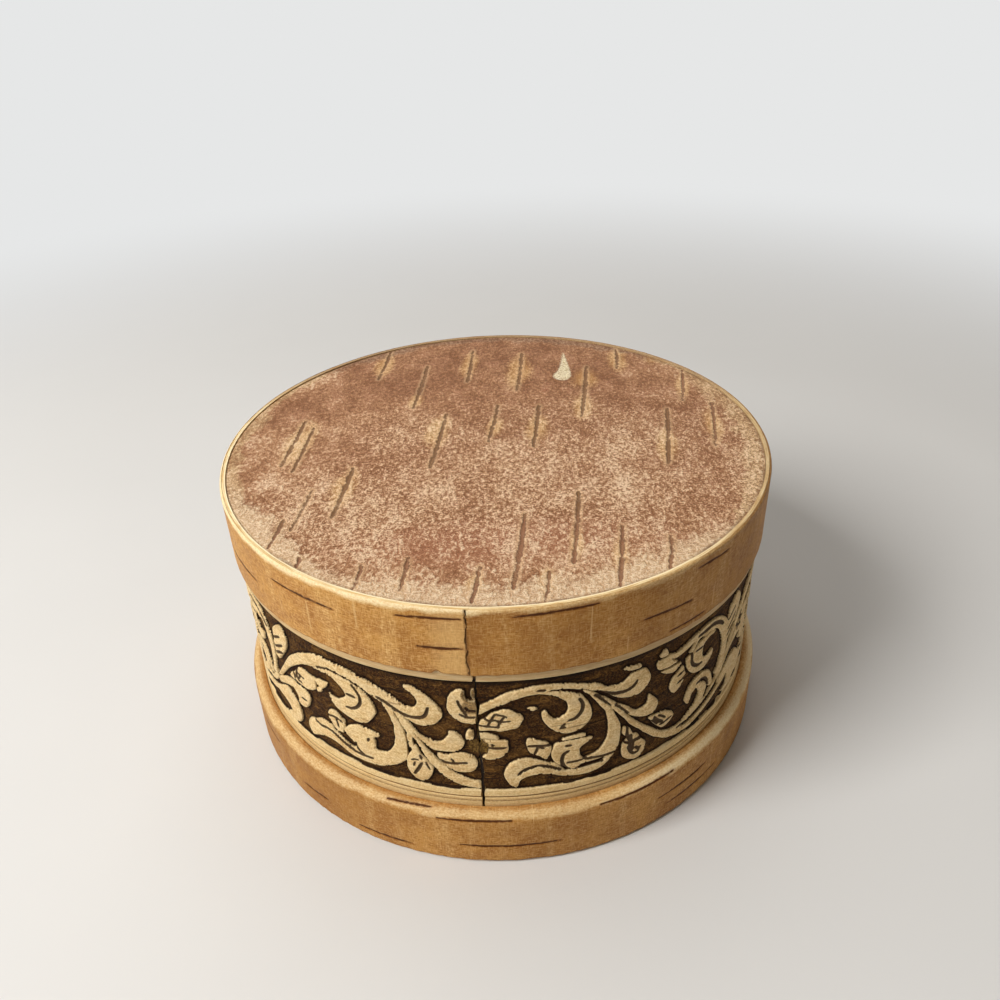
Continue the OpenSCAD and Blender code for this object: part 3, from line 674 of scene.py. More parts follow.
seamShapes = [
    # second hook
    [-17.5,30.7, -16.5,29.8, -15,28.3, -14.4,27.5, -13.8,26.8, -13,26.4, -12,26, -11,25.9, -10.3,26.3, -9.8,26.9,
     -9.3,27.8, -9.2,28.5, -8.5,28.6, -7.8,28.2, -7.2,27.5, -6.8,26.6, -6.9,25.9, -7.4,25, -8.1,24.4, -9,24.2,
     -10.5,24.1, -12,24.2, -13,24.9, -13.8,25.7, -14.6,26.7, -15.8,28.2, -17,29.6],
    [-18.8,32, -17.9,30.8, -17.3,29.4, -16.8,28, -16.2,27, -15.3,26.9, -14.7,27.6, -15.4,28.9, -16.5,30.3,
     -17.6,31.5],
    [-16.2,26.9, -16.2,25, -15.9,23.5, -15.4,23.9, -15.5,25.5, -15.2,26.6],
    # stem that runs down to the seam
    [-15.6,27.9, -14.7,26.6, -13.9,25.3, -13.2,24.1, -12.3,23, -11.4,21.8, -10.3,20.7, -9.4,19.7, -8.5,19, -7.4,18.4,
     -6,17.7, -4.6,17.4, -4.6,16, -6.5,16.2, -8,16.6, -9.3,17.2, -10.3,18, -11.3,19, -12,20.1, -12.8,21, -13.3,22,
     -13.7,22.9, -14.2,24.1, -14.8,25.6, -15.6,27],
    # veined leaf, bud and rosette
    [-11.4,23.3, -9.6,23.1, -9.3,23.4, -8,23.8, -7,23.9, -5.9,23.5, -5.2,22.8, -4.9,22, -5,21.1, -5.4,20.3,
     -6.2,19.8, -7.5,19.6, -8.6,19.7, -9.3,20.2, -10.2,20.9, -10.9,22],
    [-15.8,22.7, -16.5,21.5, -16.8,20, -16.8,18.8, -16.3,17.5, -15.5,16.6, -14.5,16.2, -13.5,16.7, -12.9,17.6,
     -12.5,18.8, -12.4,19.9, -12.9,20.7, -13.9,22, -14.4,22.8, -14.8,24, -15.3,24.2],
    [-4.6,35.5, -5.3,35.5, -6,35.9, -6.3,36.7, -6.3,37.7, -7.4,37.7, -8.2,37, -8.8,35.9, -9,34.9, -9.1,34, -8.9,33,
     -8.4,32.1, -7.6,31.4, -6.7,30.9, -5.7,30.8, -4.6,31],
    [-4.6,36.1, -5.1,36.2, -5.3,37.1, -5.1,38, -4.6,38],
    [-6.5,27.3, -6.2,29, -5.4,29.2, -5.2,28, -5.6,27.1],
]

seamCuts = [
    (0.15, [-11.3,22.1, -10.2,21.6, -9.2,21.4, -8,21.6, -6.6,21.8]), (0.08, [-9.2,22.5, -8.8,22, -8.8,21.5]),
    (0.08, [-16,20.8, -15.3,21.1, -14.8,21]), (0.18, [-14.2,20.5, -14.6,19.6, -15.1,18.6, -15.7,17.6]),
    (0.08, [-15.4,20.4, -15.7,19.5]), (0.08, [-13.5,20.8, -13.2,20, -12.9,19.3]), (0.12, [-14.4,22.2, -14.2,21.4]),
    (0.14, [-7.4,35.6, -7.1,34.6, -6.7,33.6, -6.1,32.6]), (0.13, [-7.2,32.7, -6.4,32.2, -5.6,32.1, -4.8,32.2]),
    (0.17, [-6.2,34.2, -5.7,33.6, -4.8,33.5])
]

beyondShapes = [
    # start of the next repeat, where it shows at the far right
    [43.2,23, 44.2,23.9, 45.5,25.5, 47,27.3, 48.5,28.5, 50,29.3, 51.5,29.5, 53,29.1, 54.3,28.2, 55.5,26.8, 56.2,25,
     55.6,23.2, 54.2,22.8, 52.8,23.6, 51.4,24.6, 52,25.6, 51.4,26.4, 50,26.6, 48,26.4, 46,25.2, 44.4,23.4],
    [43,21.2, 44.4,22, 46,22.9, 47.5,23.4, 49.5,23.1, 51.5,22, 52.6,20.5, 53.3,19, 53.3,17.8, 52.5,16.9, 51,16.3,
     49,15.8, 47,15.9, 44.9,16.6, 46.8,16.9, 47.3,17.9, 47.2,19, 46.4,19.9, 44.6,19.9, 43.2,20],
]

# brown stains, as centre and half sizes in mm and strength
stains = [((-5.4, 36.9), (1.5, 1.7), 0.95), ((-5.6, 34.3), (1.5, 1.7), 0.62), ((-4.5, 25.4), (1.75, 1.75), 1.8),
          ((-5.5, 28.6), (0.7, 0.8), 0.5)]


def stampBand(s, z):
    shape, cut = stampShapes(s, z, rightShapes + beyondShapes), stampLines(s, z, rightCuts)
    for shapes, cuts in ((leftShapes, leftCuts), (seamShapes, seamCuts)):
        stampShapes(s, z, shapes, bandLength, shape)
        stampLines(s, z, cuts, bandLength, cut)
    # the unseen repeats leave out what belongs to the seam, and their stems bend to meet the next repeat
    bent = []
    for x, y in (pairs(outline).T for outline in rightShapes):
        if x.min() > band["repeatShapesFrom"]:
            bend = 0.7 * smoothStep(x, 33, 38) * smoothStep(y, 21.5, 19)
            bent.append(np.stack([x - 1.2 * smoothStep(x, 40, 44.5), y + bend], -1))
    bentCuts = [(width, line) for width, line in rightCuts if min(line[::2]) > band["repeatCutsFrom"]]
    width = (band["seenFrom"] - band["seenTo"]) / band["unseenRepeats"]
    for k in range(band["unseenRepeats"]):
        start = band["unseenFrom"] + width * k
        stampShapes(s, z, leftShapes if k else leftShapes[:8], start, shape)
        stampLines(s, z, leftCuts, start, cut)
        stampShapes(s, z, bent, start + width - band["unseenShift"], shape)
        stampLines(s, z, bentCuts, start + width - band["unseenShift"], cut)
    return shape, cut


def archComb(s, z):  # small teeth that the knife left along the top of the first arch
    comb, fromFront = band["comb"], s - bandLength
    slanted = fromFront * 0.85 + z * 0.5 + 0.2 * smoothNoise(s, z, 1.1, 9)
    teeth = comb["height"] * (abs(slanted / comb["spacing"] % 1 - 0.5) - 0.25)
    archTop = comb["top"] - 0.125 * abs(fromFront - comb["middle"]) ** 1.15
    onArch = smoothStep(fromFront, *comb["come"]) * smoothStep(fromFront, *comb["go"])
    return teeth * onArch * smoothStep(z - archTop, 0, 1)


def slideToEdges(s, z, shape):  # points next to an edge slide onto it, so that the knife cuts stay crisp
    ds, dz = np.gradient(s, axis=1), np.gradient(z, axis=0)
    gs, gz = np.gradient(shape, axis=1) / ds, np.gradient(shape, axis=0) / dz
    size = np.maximum(np.hypot(gs, gz), 1e-6)
    gs, gz = gs / size, gz / size
    reach = 0.95 * np.maximum(abs(gs) * ds, abs(gz) * dz)
    onto = np.where((shape >= 0) & (shape < reach), -shape, 0)
    below = np.where((shape < 0) & (shape > -reach), -band["wall"] - shape, 0)
    slide = np.clip(onto + below, -ds, ds)
    slide[0], slide[-1], slide[:, 0], slide[:, -1] = 0, 0, 0, 0
    return s + slide * gs, z + slide * gz, shape + slide


def stainAt(along, height):
    stain = np.zeros(along.shape)
    for (cs, cz), (ws, wz), strength in stains:
        for lap in (0, bandLength):
            away = np.hypot((along - cs - lap) / ws, (height - cz) / wz)
            away = away + 0.12 * smoothNoise(along, height, 0.8, 12)
            stain = np.maximum(stain, strength * smoothStep(away, 1.1, 0.8))
    return stain


def cutScrolls(along, height, up, radius):
    outside = radius > band["radius"] - 0.01
    inField = outside & (height > band["fieldLow"] - 0.1) & (height < band["top"] - 0.05)
    rows = np.nonzero(inField.any(1))[0]
    field = slice(rows[0], rows[-1] + 1)
    s, z = along[field], height[field]
    shape, cut = stampBand(s, z)
    shape = shape + band["serration"] * (smoothNoise(s, z, 0.5, 3) + 0.6 * smoothNoise(s, z, 0.9, 4)) + archComb(s, z)
    border = band["fieldLow"] + 0.08 * ripple(s, 4, 8) + 0.03 * ripple(s, 1.2, 10)
    shape = np.maximum(shape, np.clip(border - z, -window, window))
    s, z, shape = slideToEdges(s, z, shape)
    low = smoothStep(shape, -0.02, -band["wall"])
    ground = band["depth"] + 0.07 * smoothNoise(s, z, 0.5, 5) + 0.06 * smoothNoise(s, z, 1.3, 6)
    top = 0.02 * (1 + smoothNoise(s, z, 2.0, 7)) + 0.05 * smoothStep(shape, 0.40, 0.0) * smoothStep(z, 15.4, 16.2)
    drop, carve, cutAway = np.zeros(along.shape), np.ones(along.shape), np.ones(along.shape)
    drop[field] = low * ground + (1 - low) * (top + band["cutDepth"] * smoothStep(cut, 0.12, -0.12))
    carve[field], cutAway[field] = shape, cut
    nearOutside = radius > band["radius"] - 0.5
    fromScored = abs(height - band["scored"])
    cutAway[nearOutside & (abs(height - sum(band["groove"]) / 2) < band["grooveHalf"])] = 0.0
    cutAway[nearOutside & (fromScored < band["scoredHalf"])] = band["scoredTone"]
    drop = drop + band["scoredDepth"] * (nearOutside & (fromScored < 0.1))
    moved, shifted = height.copy(), along.copy()
    shifted[field], moved[field] = s, z
    return shifted, moved, drop, {"carve": carve, "cut": cutAway, "stain": stainAt(along, height)}


def bandSection():
    r, inner, top, (low, high) = band["radius"], band["inner"], band["top"], band["groove"]
    foot = [(r, z) for z in (0.0, 6.0, 11.0, 12.2, 12.8, 12.95, 13.1, low - 0.15)]
    groove = [(r - band["grooveDepth"], low), (r - band["grooveDepth"] - 0.02, high)]
    border = [(r, z) for z in (high + 0.15, high + 0.8, band["fieldLow"] - 0.3)]
    field = [(r, z) for z in np.linspace(band["fieldLow"], top - band["bevel"], band["fieldRows"])]
    over = [(r - band["bevel"], top), (inner + 0.1, top), (inner, top - 0.1), (inner, 20.0), (inner, 0.0)]
    return foot + groove + border + field + over


def wobble(size, amount, seed, fine=0.5):  # a joint's wander along its height
    return lambda z: amount * (ripple(z, size, seed) + fine * ripple(z, size / 3, seed + 100))


def carvedGap(z):
    knot = smoothStep(abs(z - band["knotHeight"]), 1.5, 0.9)
    return (band["seamGap"] + wobble(1.8, 0.24, 23, 0.9)(z)) * (1 - 0.85 * knot)


bentStrip({**band, "section": bandSection(), "seam": (-5.1, carvedGap, wobble(3.1, 0.26, 21))}, cutScrolls)
print("carved band cut")


# Skins and plies

def outerSide(outer, low, high, rows, edge, foot=0.08, parts=6):
    # from the foot up the outside and over the rounded top edge, whose size is given across and up
    across, tall = edge
    side = [(outer - foot, low)] + [(outer, z) for z in np.linspace(low + foot, high - tall, rows)]
    for a in np.linspace(0, math.pi / 2, parts + 1)[1:]:
        side.append((outer - across + across * math.cos(a), high - tall + tall * math.sin(a)))
    return side


def dullRim(angle):  # the lid's rim is duller at the back and the right
    return np.clip(smoothStep(-np.cos(angle), 0.15, 0.75) + 0.6 * smoothStep(np.sin(angle), 0.5, 0.95), 0, 1)


# the lid's rubbed edge, pale from wear and from a painted highlight, fainter at the back and on the right
def lidWearAndHighlight(rubbedAndHighlight, up, angle):
    return rubbedAndHighlight * (1 - 0.95 * dullRim(angle)) * (0.9 - 0.35 * smoothStep(np.sin(angle), -0.12, 0.02))


# the base's rubbed edge, pale from wear and from a painted highlight, fainter up on the flat top and stronger on the
# right
def baseWearAndHighlight(rubbedAndHighlight, up, angle):
    return rubbedAndHighlight * (1 - 0.7 * smoothStep(up, 11.9, 13.1)) * (1 + 0.5 * smoothStep(np.sin(angle), 0.2, 0.6))


skins = {"slitDepth": 0.16, "rise": 0.02, "grain": 0.012, "sunk": 0.035, "ragged": 0.10}


def skinRelief(skin):
    # slits: half width, then angle from the front in degrees and mm up the side, in turn
    # worn: where the rubbed edge, paler from wear and from a painted highlight, starts and is full; darkSides: how
    # much painted shade darkens the left and the right
    # tear: angle from the front, height and half width of a tear in the lower edge
    arc, low, seed, (wornAndHighlightLow, wornAndHighlightHigh) = skin["radius"], skin["low"], skin["seed"], skin["worn"]
    lines = [(width, [(math.radians(a) * arc, z) for a, z in pairs(line)]) for width, line in skin["slits"]]
    fullTurn = 2 * math.pi * arc

    def relief(along, height, up, radius):
        angle = along / arc
        slit = np.full(along.shape, window)
        for lap in (0, fullTurn):
            stampLines(along, up, lines, lap, slit, taper=0.85)
        slit = slit + 0.06 * smoothNoise(along, up, 0.5, seed)
        # the rubbed top edge, pale from wear and from a painted highlight
        rubbedAndHighlight = skin["rubbingAndHighlight"] * smoothStep(up + 0.3 * ripple(along, 2.2, seed + 3), wornAndHighlightLow, wornAndHighlightHigh)
        fromSeam = along - math.radians(skin["seam"][0]) * arc
        beforeSeam = fullTurn - fromSeam
        # tint: the bark's own tone, lighter before the seam, darker after it and varying at random, minus painted
        # shade that darkens the base skin as a whole and the left and right sides; the rim darkens at the back and the
        # right
        tint = smoothStep(beforeSeam, 9, 0) - 0.8 * smoothStep(fromSeam, 6, 0) - skin["darker"]
        tint = tint + 0.4 * smoothNoise(along, up * 0.3, 6, seed + 4)
        tint = tint - skin["darkSides"][0] * smoothStep(-np.sin(angle), 0.2, 0.8)
        tint = tint - skin["darkSides"][1] * smoothStep(np.sin(angle), -0.12, 0.15)
        tint = tint - skin["darkRim"] * dullRim(angle) * smoothStep(up, 52.8, 53.6)
        outer = (up < wornAndHighlightHigh + 0.9 + (wornAndHighlightHigh - wornAndHighlightLow)) & (up > low - 0.01)
        drop = skins["slitDepth"] * smoothStep(slit, 0.12, -0.1) + skins["sunk"]
        drop = drop - skins["rise"] * smoothNoise(along, up, 5, seed + 1)
        drop = drop + skins["grain"] * smoothNoise(along * 2, up * 0.4, 0.7, seed + 5)
        ragged = skins["ragged"] * (1 + ripple(along, 1.1, seed + 6))
        if "tear" in skin:
            tearAngle, tearHeight, tearWidth = skin["tear"]
            fromTear = along - math.radians(tearAngle) * arc - fullTurn
            ragged = ragged + tearHeight * smoothStep(abs(fromTear), tearWidth, 0)
        edge = up - low - ragged + 0.12 * ripple(along, 0.9, seed + 2)
        atSeam = np.minimum(fromSeam, beforeSeam) - 0.15 + 0.15 * smoothNoise(along * 0, up, 0.8, seed + 7)
        edge = np.minimum(edge, atSeam)
        height = height + ragged * smoothStep(height - low, 1.2, 0)
        return along, height, np.where(outer, drop, 0), {
            "slit": slit, "edge": np.where(outer, np.clip(edge, -1, 3), 3),
            "worn": skin["wearAndHighlight"](rubbedAndHighlight, up, angle), "tint": tint}
    return relief


def plyRelief(ply):
    # greyer: heights between which the ply turns greyer, partly its own tone and partly painted shade under the skin's
    # edge; bright: radius of its palest line, partly its pale cut edge and partly a painted highlight, and its reach
    # the gap shade: heights between which painted shade darkens the ply behind the skin's seam
    def relief(along, height, up, radius):
        arc, seed, zero = ply["radius"], ply["seed"], np.zeros(along.shape)
        drop = ply["fibre"] * (2.1 + smoothNoise(along * 0.3, up * 2, 0.7, seed) + smoothNoise(along, up, 3, seed + 1))
        numbers = {"strip": zero, "bright": zero, "dirt": zero, "dull": zero}
        if "greyer" in ply:
            grey = smoothStep(height + 0.1 * smoothNoise(along, height, 1.5, seed + 2), *ply["greyer"])
            rim, dull, (brightAt, brightReach) = height > ply["rimFrom"], dullRim(along / arc), ply["bright"]
            line = smoothStep(abs(radius - brightAt), brightReach, 0)
            halfTurn, (gapShadeLow, gapShadeHigh) = math.pi * arc, ply["dirt"]
            fromSeam = (along - math.radians(ply["gapShadeAngle"]) * arc + halfTurn) % (2 * halfTurn) - halfTurn
            behindSeam = smoothStep(abs(fromSeam), 1.1, 0.7)
            numbers = {"strip": (0.45 + 0.55 * grey) * (height < ply["stripTop"]), "bright": line * rim * (1 - dull),
                       "dirt": behindSeam * (height > gapShadeLow) * (height < gapShadeHigh), "dull": rim * dull}
        return along, height, drop, numbers
    return relief


def steps(fine):
    return fine, fine * 1.3, 50


lidSkin = {
    "piece": ("lidSkin", "lid", "honey_bark", honey, "lid_skin"), "radius": 50.0, "low": 41.5, "steps": steps(0.32),
    "section": outerSide(50.0, 41.5, 54.0, 40, (0.36, 0.5)) + [(49.61, 53.99), (49.61, 48.0), (49.61, 41.5)],
    "seam": (-6.05, lambda z: 0.27 + wobble(1.3, 0.13, 19, 1.0)(z), wobble(1.6, 0.18, 11, 1.0)),
    # darker and darkSides: painted shade, here darkening the right side more than the left
    "seed": 31, "worn": (52.6, 53.7), "rubbingAndHighlight": 1.0, "wearAndHighlight": lidWearAndHighlight, "darker": 0.0, "darkSides": (0.15, 0.6),
    "darkRim": 1.4, "tear": (-11.6, 0.6, 0.9),
    "slits": [
        (0.13, [-18,52, -12,52.3, -6.5,52.35]), (0.15, [-14.7,46.7, -10,46.7, -6.7,46.9]), (0.15, [1.5,52.7, 9,52.85,
        16.3,52.9]), (0.15, [25,47.15, 30,47, 36,46.7]), (0.13, [31,42.6, 40,42.6]), (0.13, [36,52.5, 46,51.9]),
        (0.13, [-46,49.8, -38,50, -30,50]), (0.13, [-70,45.5, -60,46, -52,46.3]), (0.13, [66,48.4, 80,48.9]),
        (0.15, [92,44.6, 108,44.9]), (0.11, [101,51.2, 112,51]), (0.13, [126,46.6, 139,46.8]), (0.13, [148,50.9,
        163,51.3]), (0.15, [155,43.9, 171,44]), (0.11, [186,48, 197,47.7]), (0.13, [205,51.8, 220,51.5]),
        (0.15, [214,44.4, 227,44.9]), (0.13, [238,48.6, 252,48.2]), (0.11, [262,52.1, 275,52.3]), (0.13, [268,45.2,
        280,45])
    ]}
baseSkin = {
    "piece": ("baseSkin", "box", "honey_bark", honey, "base_skin"), "radius": 51.65, "low": 0.4, "steps": steps(0.34),
    "section": outerSide(51.65, 0.4, 11.8, 32, (2.1, 1.6), parts=11) + [
        (49.42, 11.79), (49.3, 11.7), (49.3, 11.42), (50.35, 11.35), (50.8, 11.15), (51.12, 10.85), (51.25, 10.4),
        (51.26, 5.0), (51.26, 0.4)],
    "seam": (168, lambda z: 0.2 + wobble(1.7, 0.08, 18)(z), wobble(1.7, 0.14, 13, 0.8)),
    # darker and darkSides: painted shade over the whole base skin, more on the left and a little lighter on the right
    "seed": 41, "worn": (10.0, 11.3), "rubbingAndHighlight": 0.62, "wearAndHighlight": baseWearAndHighlight, "darker": 0.42, "darkSides": (0.6, -0.1),
    "darkRim": 0.0,
    "slits": [
        (0.13, [-31,2.1, -25,2.2, -19,2.3]), (0.13, [-13.8,10.5, -6,10.6, 0.3,10.7]), (0.15, [-9.7,4.3, 0,4.3,
        9.5,4.45]), (0.13, [-47,3.5, -39,4]), (0.13, [17,10.9, 25,10.9, 34,11.1]), (0.11, [-24,11.8, -19,12.1,
        -15,12.2]), (0.15, [30,6.2, 43.5,6.5]), (0.13, [31.6,3.5, 47.5,3.5]), (0.13, [60,7.4, 75,7.2]),
        (0.11, [70,2.9, 83,3.1]), (0.13, [92,8.3, 104,8.6]), (0.13, [110,4.4, 126,4.6]), (0.11, [131,7.9, 141,8]),
        (0.13, [146,3.2, 158,3]), (0.13, [178,6, 192,6.3]), (0.11, [199,3, 211,3.3]), (0.13, [214,8.6, 229,8.2]),
        (0.13, [240,5.1, 251,5]), (0.13, [258,8.4, 271,8.1]), (0.11, [276,3.8, 290,4]), (0.13, [296,7.6, 305,7.7])
    ]}
for skin in (lidSkin, baseSkin):
    bentStrip(skin, skinRelief(skin))
print("honey skins wrapped")

lidPly = {
    "piece": ("lidPly", "lid", "pale_bark", pale, "lid_ply"), "radius": 49.6, "steps": steps(0.4),
    "section": outerSide(49.6, 40.0, 54.0, 60, (0.06, 0.06), parts=2) + [
        (49.42, 54.0), (49.3, 54.0), (49.16, 54.0), (49.04, 54.0), (48.97, 54.0), (48.9, 53.93),
        (48.9, 53.0), (48.5, 53.0), (48.5, 47.0), (48.5, 40.1), (48.6, 40.0)],
    "seam": (-5.3, lambda z: 0.5 * smoothStep(z, 44.0, 42.5) + 0.03, wobble(1.2, 0.08, 15)),
    "seed": 51, "fibre": 0.02, "greyer": (39.6, 40.6), "stripTop": 43, "rimFrom": 52, "bright": (49.1, 0.25),
    "dirt": (41.6, 53.8), "gapShadeAngle": -6.05}
baseCore = {
    "piece": ("baseCore", "box", "pale_bark", pale, "base_core"), "radius": 51.25, "steps": steps(0.5),
    "section": outerSide(51.23, 0.0, 11.3, 12, (0.9, 0.9), 0.1) + [
        (49.6, 11.3), (49.25, 11.2), (49.25, 5.0), (49.25, 0.1), (49.35, 0.0), (50.2, 0.0)],
    "seam": (-174, lambda z: 0.2 + 0 * z, wobble(1.2, 0.08, 16)), "seed": 53, "fibre": 0.02}
for ply in (lidPly, baseCore):
    bentStrip(ply, plyRelief(ply))

neck = {
    "piece": ("neckLiner", "box", "lining_bark", neckLining, "liner"), "radius": 48.2, "steps": steps(0.5),
    "section": outerSide(48.2, 4.3, 48.5, 60, (0.35, 0.35), 0.1) + [(47.5, 48.5), (47.0, 48.5), (46.8, 48.35)] + [
        (46.8, z) for z in np.linspace(47.8, 4.4, 60)] + [(46.9, 4.3)],
    "seam": (180, lambda z: 0.2 + 0 * z, wobble(1.2, 0.08, 17)),
    "slits": 34, "slitDepth": 0.12, "bandTop": 39.8, "seed": 71}


def faintSlit(random, s, z, half, widths):
    return random.uniform(*widths), [s - half, z, s, z + random.uniform(-0.2, 0.2),
                                     s + half, z + random.uniform(-0.3, 0.3)]


def neckRelief(along, height, up, radius):
    random = np.random.RandomState(neck["seed"])
    lines = []
    for _ in range(neck["slits"]):
        s, z, half = random.uniform(0, 300), random.uniform(6, 62), random.uniform(2.5, 5.5)
        lines.append(faintSlit(random, s, z, half, (0.12, 0.2)))
    slit = stampLines(along - along.min(), up, lines, taper=0.85)
    drop = 0.02 * (1.2 + smoothNoise(along, up, 3, 55)) + neck["slitDepth"] * smoothStep(slit, 0.1, -0.1)
    # painted shade: dark where it stands behind the carved band, so that the band's open seam reads as a gap
    return along, height, drop, {"slit": slit, "dirt": 1.0 * ((height < neck["bandTop"]) & (radius > 48))}


bentStrip(neck, neckRelief)
print("plies and neck bent")


# Bark discs

def barkDisc(piece, plate, relief):
    # a square grid pressed into a circle; side is 1 where the worked face looks up and -1 where it looks down
    radius, low, high, side = plate["radius"], plate["low"], plate["high"], plate["side"]
    line = np.linspace(-1, 1, plate["cells"] + 1)
    a, b = np.meshgrid(line, line)
    big = np.maximum(abs(a), abs(b))
    size = np.maximum(np.hypot(a, b), 1e-9)
    blendIn = big ** 2  # rounder rings towards the rim
    x = a * ((1 - blendIn) + blendIn * big / size) * radius
    y = b * ((1 - blendIn) + blendIn * big / size) * radius
    drop, numbers = relief(x, y)
    face = (high if side > 0 else low) - side * drop
    index = np.arange(x.size).reshape(x.shape)
    rim = np.concatenate([index[0, :-1], index[:-1, -1], index[-1, :0:-1], index[:0:-1, 0]])
    points = np.stack([x, y, face], -1).reshape(-1, 3)
    lower = points[rim].copy()
    lower[:, 2] = low if side > 0 else high
    quads = np.stack([index[:-1, :-1], index[:-1, 1:], index[1:, 1:], index[1:, :-1]], -1).reshape(-1, 4)
    edge = np.arange(len(rim)) + x.size
    sides = np.stack([rim, edge, np.roll(edge, -1), np.roll(rim, -1)], -1)
    faces = quads.tolist() + sides.tolist() + [edge[::-1].tolist()]
    if side < 0:
        faces = [face[::-1] for face in faces]
    points = np.vstack([points, lower])
    numbers = {key: np.concatenate([value.ravel(), value.ravel()[rim]]) for key, value in numbers.items()}
    addMesh(piece, points, faces, numbers, ("flat", points * (1, 1, 0)))


disc = {
    "radius": 48.86, "low": 53.0, "high": 53.8, "side": 1, "cells": 300, "lean": 0.1,
    "slitDepth": 0.14, "chipDepth": 0.08, "edgeShadowWidth": 0.8,
    # half width, then x, y of both ends
    "slits": [
        (0.34, -37,10.7, -38.7,-6.6), (0.26, -34.9,7.6, -36.3,-8.9), (0.34, -25.5,-8.2, -27.3,-24.3),
        (0.26, -31.8,-15.3, -33.5,-27.3), (0.22, -35.2,-24.3, -36.2,-32.1), (0.28, -22.6,42.9, -24.2,28.3),
        (0.32, -13.9,34.4, -16,14.4), (0.3, -4,42.1, -5.3,25.4), (0.34, -9.3,11.2, -11.7,-9.2),
        (0.28, 1,14.1, -1.2,-0.5), (0.3, 6.9,39.3, 5,20.6), (0.3, 9.1,13.4, 7,-3.1), (0.34, 20.4,31, 17.1,7.9),
        (0.26, 27.9,39.4, 26.8,29.3), (0.28, 40.3,27, 37.6,13), (0.28, 43.2,11.6, 40,-5.9),
        (0.34, 34,9.8, 30.4,-11.2), (0.34, 13.8,-19.5, 11.1,-39.3), (0.28, 19.7,-29.9, 17.2,-45.6),
        (0.26, 26.9,-33.2, 25.1,-42.1), (0.34, 4.5,-25.2, 1.8,-44.7), (0.24, 7.3,-41.1, 6.2,-48),
        (0.2, -30.9,-34.8, -30.9,-37.4), (0.24, -21,-37.6, -21.7,-43.4), (0.28, -14,-36.3, -14.8,-44.1),
        (0.28, -3.1,-39.1, -4.3,-47.5)
    ],
    # lighter patches beside the lenticels: x, y, half width and half length
    "patches": [
        (-36.6,2, 3.4, 11), (-26.4,-15, 2.6, 9), (-10.8,4, 2.8, 8), (5.8,30, 3.2, 11), (8.2,4, 2.6, 7),
        (19.4,25, 3.6, 6), (17.6,12, 2.4, 7), (-23.4,36, 2.4, 8), (-4.8,34, 2.2, 8), (27.5,34, 2.6, 8),
        (35,34, 2.2, 4), (-15.6,17.5, 1.6, 4), (39,20, 1.8, 8), (31.4,-5, 2.4, 8), (41.5,3, 2.2, 9),
        (-3.9,-44, 1.8, 4), (6.7,-44, 1.8, 5), (0.1,5, 2, 5), (18.4,-38, 1.6, 7), (12,-34, 1.4, 6)
    ],
    "chip": [16, 38.6, 16.5, 34, 16.8, 28, 16.2, 25.4, 14.8, 24.6, 13.3, 25.6, 12.9, 27.2, 14, 29.4, 15, 33],
    "blush": [(0, -33, 34, 9), (41.7, 3, 2.6, 11), (39, 20, 2.4, 8), (10.8, 20.1, 1.3, 2.0)],
    "tanSpot": [(30, -30, 14, 13)]}


def spots(x, y, places):
    return np.max([1 - np.hypot((x - px - disc["lean"] * (y - py)) / wide, (y - py) / tall)
                   for px, py, wide, tall in places], 0).clip(0)


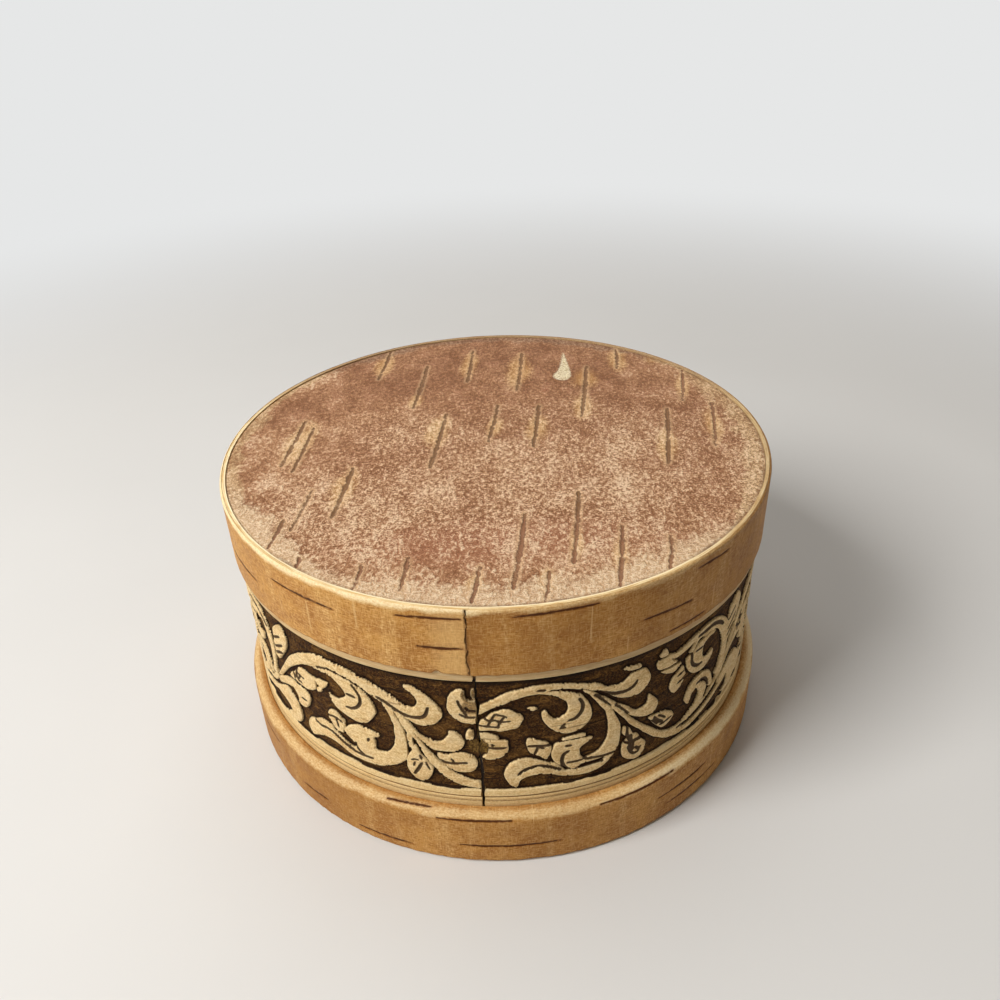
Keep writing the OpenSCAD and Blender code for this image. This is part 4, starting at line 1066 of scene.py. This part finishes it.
def discRelief(x, y):
    lines = [(width, [ax, ay, (ax + bx) / 2 + 0.15, (ay + by) / 2, bx, by]) for width, ax, ay, bx, by in disc["slits"]]
    slit = stampLines(x, y, lines, margin=2.0, taper=0.4) + 0.14 * smoothNoise(x, y, 0.9, 61)
    chip = stampShapes(x, y, [disc["chip"]], margin=1.5)
    fromEdge = disc["radius"] - np.hypot(x, y)
    away = fromEdge + 1.3 * smoothNoise(x, y, 3, 62) + 0.6 * smoothNoise(x, y, 0.9, 67)
    # parts of the disc, from 0 to 1
    front = smoothStep(-y + 0.15 * x, 30, 44)
    lowerLeft = smoothStep(-x - 0.3 * y, 30, 44) * smoothStep(y, -10, -24)
    leftEdge = smoothStep(-x, 34, 46) * smoothStep(abs(y + 4), 34, 16)
    rightEdge = smoothStep(x, 34, 44) * smoothStep(abs(y), 34, 20)
    backEdge = smoothStep(y, 26, 42)
    # worn pale zone at the front edge
    worn = np.maximum(front, lowerLeft)
    reach = 1.5 + 9 * front + 7.5 * lowerLeft
    pale = smoothStep(away + 1.2 * smoothNoise(x * 1.6, y * 0.5, 2, 69), reach, 0.1 * reach)
    pale = np.maximum(pale * (0.35 + 0.65 * worn) * (1 - backEdge), 0.25 * smoothStep(-y, 26, 46))
    tan = smoothStep(away, 1.2 + 6 * rightEdge + 3 * leftEdge, 0.3) * (1 - backEdge)
    tan = np.maximum(tan, 0.4 * spots(x, y, disc["tanSpot"]) ** 0.6)
    # darker at the back, lighter towards the front, and softer specks at the back, the left and the front
    dusk = smoothStep(y + 3 * smoothNoise(x, y, 9, 65), -5, 34) * smoothStep(away, 1, 5)
    dusk = dusk - 0.6 * smoothStep(-y, 2, 22) * smoothStep(x, 32, 20)
    backSoft = smoothStep(y + 3 * smoothNoise(x, y, 8, 68), 0, 30)
    frontSoft = 0.8 * smoothStep(-y + 2 * smoothNoise(x, y, 6, 72), 26, 40)
    soft = np.maximum(np.maximum(backSoft, smoothStep(-x + 0.5 * y, 18, 38)), frontSoft)
    # painted shadow: a dark line along the edge, left off at the back and at the far left
    brink = smoothStep(fromEdge, disc["edgeShadowWidth"], 0.15) * (0.6 + 0.4 * smoothNoise(x, y, 4, 70))
    brink = brink * (1 - backEdge) * smoothStep(x, -42, -28)
    drop = disc["slitDepth"] * smoothStep(slit, 0.15, -0.2) + disc["chipDepth"] * smoothStep(chip, -0.1, 0.15)
    drop = drop - 0.04 * smoothStep(slit, 0.7, 0.3) * smoothStep(slit, -0.1, 0.3)
    drop = drop + 0.02 * (1 + smoothNoise(x * 1.8, y * 0.5, 0.7, 63)) + 0.03 * (1 + smoothNoise(x, y, 9, 64)) + 0.02
    drop = drop + 0.05 * smoothStep(fromEdge, 0.3, 0)
    patches = [(px, py, wide * 1.25, tall * 1.1) for px, py, wide, tall in disc["patches"]]
    return drop, {"slit": slit, "patch": spots(x, y, patches) ** 0.8, "chip": chip, "pale": pale, "tan": tan,
                  "dusk": dusk, "soft": soft, "brink": brink, "dull": backEdge * smoothStep(away, 4.5, 0.5),
                  "blush": spots(x, y, disc["blush"]) ** 0.5}


def hiddenRelief(plate):
    # slits lie at random, along x, or along y where the red side of the bark shows
    radius, seed, red = plate["radius"], plate["seed"], plate["red"]

    def relief(x, y):
        random = np.random.RandomState(seed)
        if red:
            x, y = y, x
        lines = []
        for _ in range(plate["slits"]):
            px, py, half = random.uniform(-radius, radius), random.uniform(-radius, radius), random.uniform(3, 7)
            if math.hypot(px, py) + half < radius - 1:
                lines.append(faintSlit(random, px, py, half, (0.18, 0.3)))
        slit = stampLines(x, y, lines, margin=2.0, taper=0.8) + 0.06 * smoothNoise(x, y, 0.7, seed)
        fromEdge = radius - np.hypot(x, y)
        drop = plate["slitDepth"] * smoothStep(slit, 0.12, -0.15) + 0.03 * (1 + smoothNoise(x, y, 7, seed + 1))
        drop = drop + 0.1 * smoothStep(fromEdge, 0.3, 0)
        numbers = {"slit": slit}
        if red:
            even = {"chip": -1, "pale": 0, "dusk": 0.3, "soft": 0.4, "dull": 0, "brink": 0, "blush": 0.2}
            numbers.update({key: np.full(x.shape, float(value)) for key, value in even.items()})
            numbers.update({"patch": smoothStep(slit, 1.4, 0.5) * 0.6, "tan": smoothStep(fromEdge, 2, 0)})
        return drop, numbers
    return relief


hidden = {"cells": 150, "slitDepth": 0.12, "slits": 40, "red": False}
lidLining = {**hidden, "radius": 48.45, "low": 49.8, "high": 50.3, "side": -1, "seed": 81}
floorLining = {**hidden, "radius": 46.75, "low": 4.3, "high": 4.8, "side": 1, "seed": 83}
underside = {**hidden, "radius": 48.15, "low": 0.0, "high": 0.8, "side": -1, "seed": 85, "slits": 46, "red": True}

barkDisc(("lidTopBark", "lid", "red_bark", red, "lid_top_bark"), disc, discRelief)
barkDisc(("lidLining", "lid", "lining_bark", flatLining, "lid_lining"), lidLining, hiddenRelief(lidLining))
barkDisc(("floorLining", "box", "lining_bark", flatLining, "floor_lining"), floorLining, hiddenRelief(floorLining))
barkDisc(("undersideBark", "box", "red_bark", red, "underside_bark"), underside, hiddenRelief(underside))
print("bark discs laid")

for name in ("lid_board", "bottom_board"):
    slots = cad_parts[name].data.materials
    slots.clear()
    slots.append(board)
print("wooden boards finished")

boxes = {"cad": [list(corner) for corner in cadBox], "visual": [list(corner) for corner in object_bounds()]}
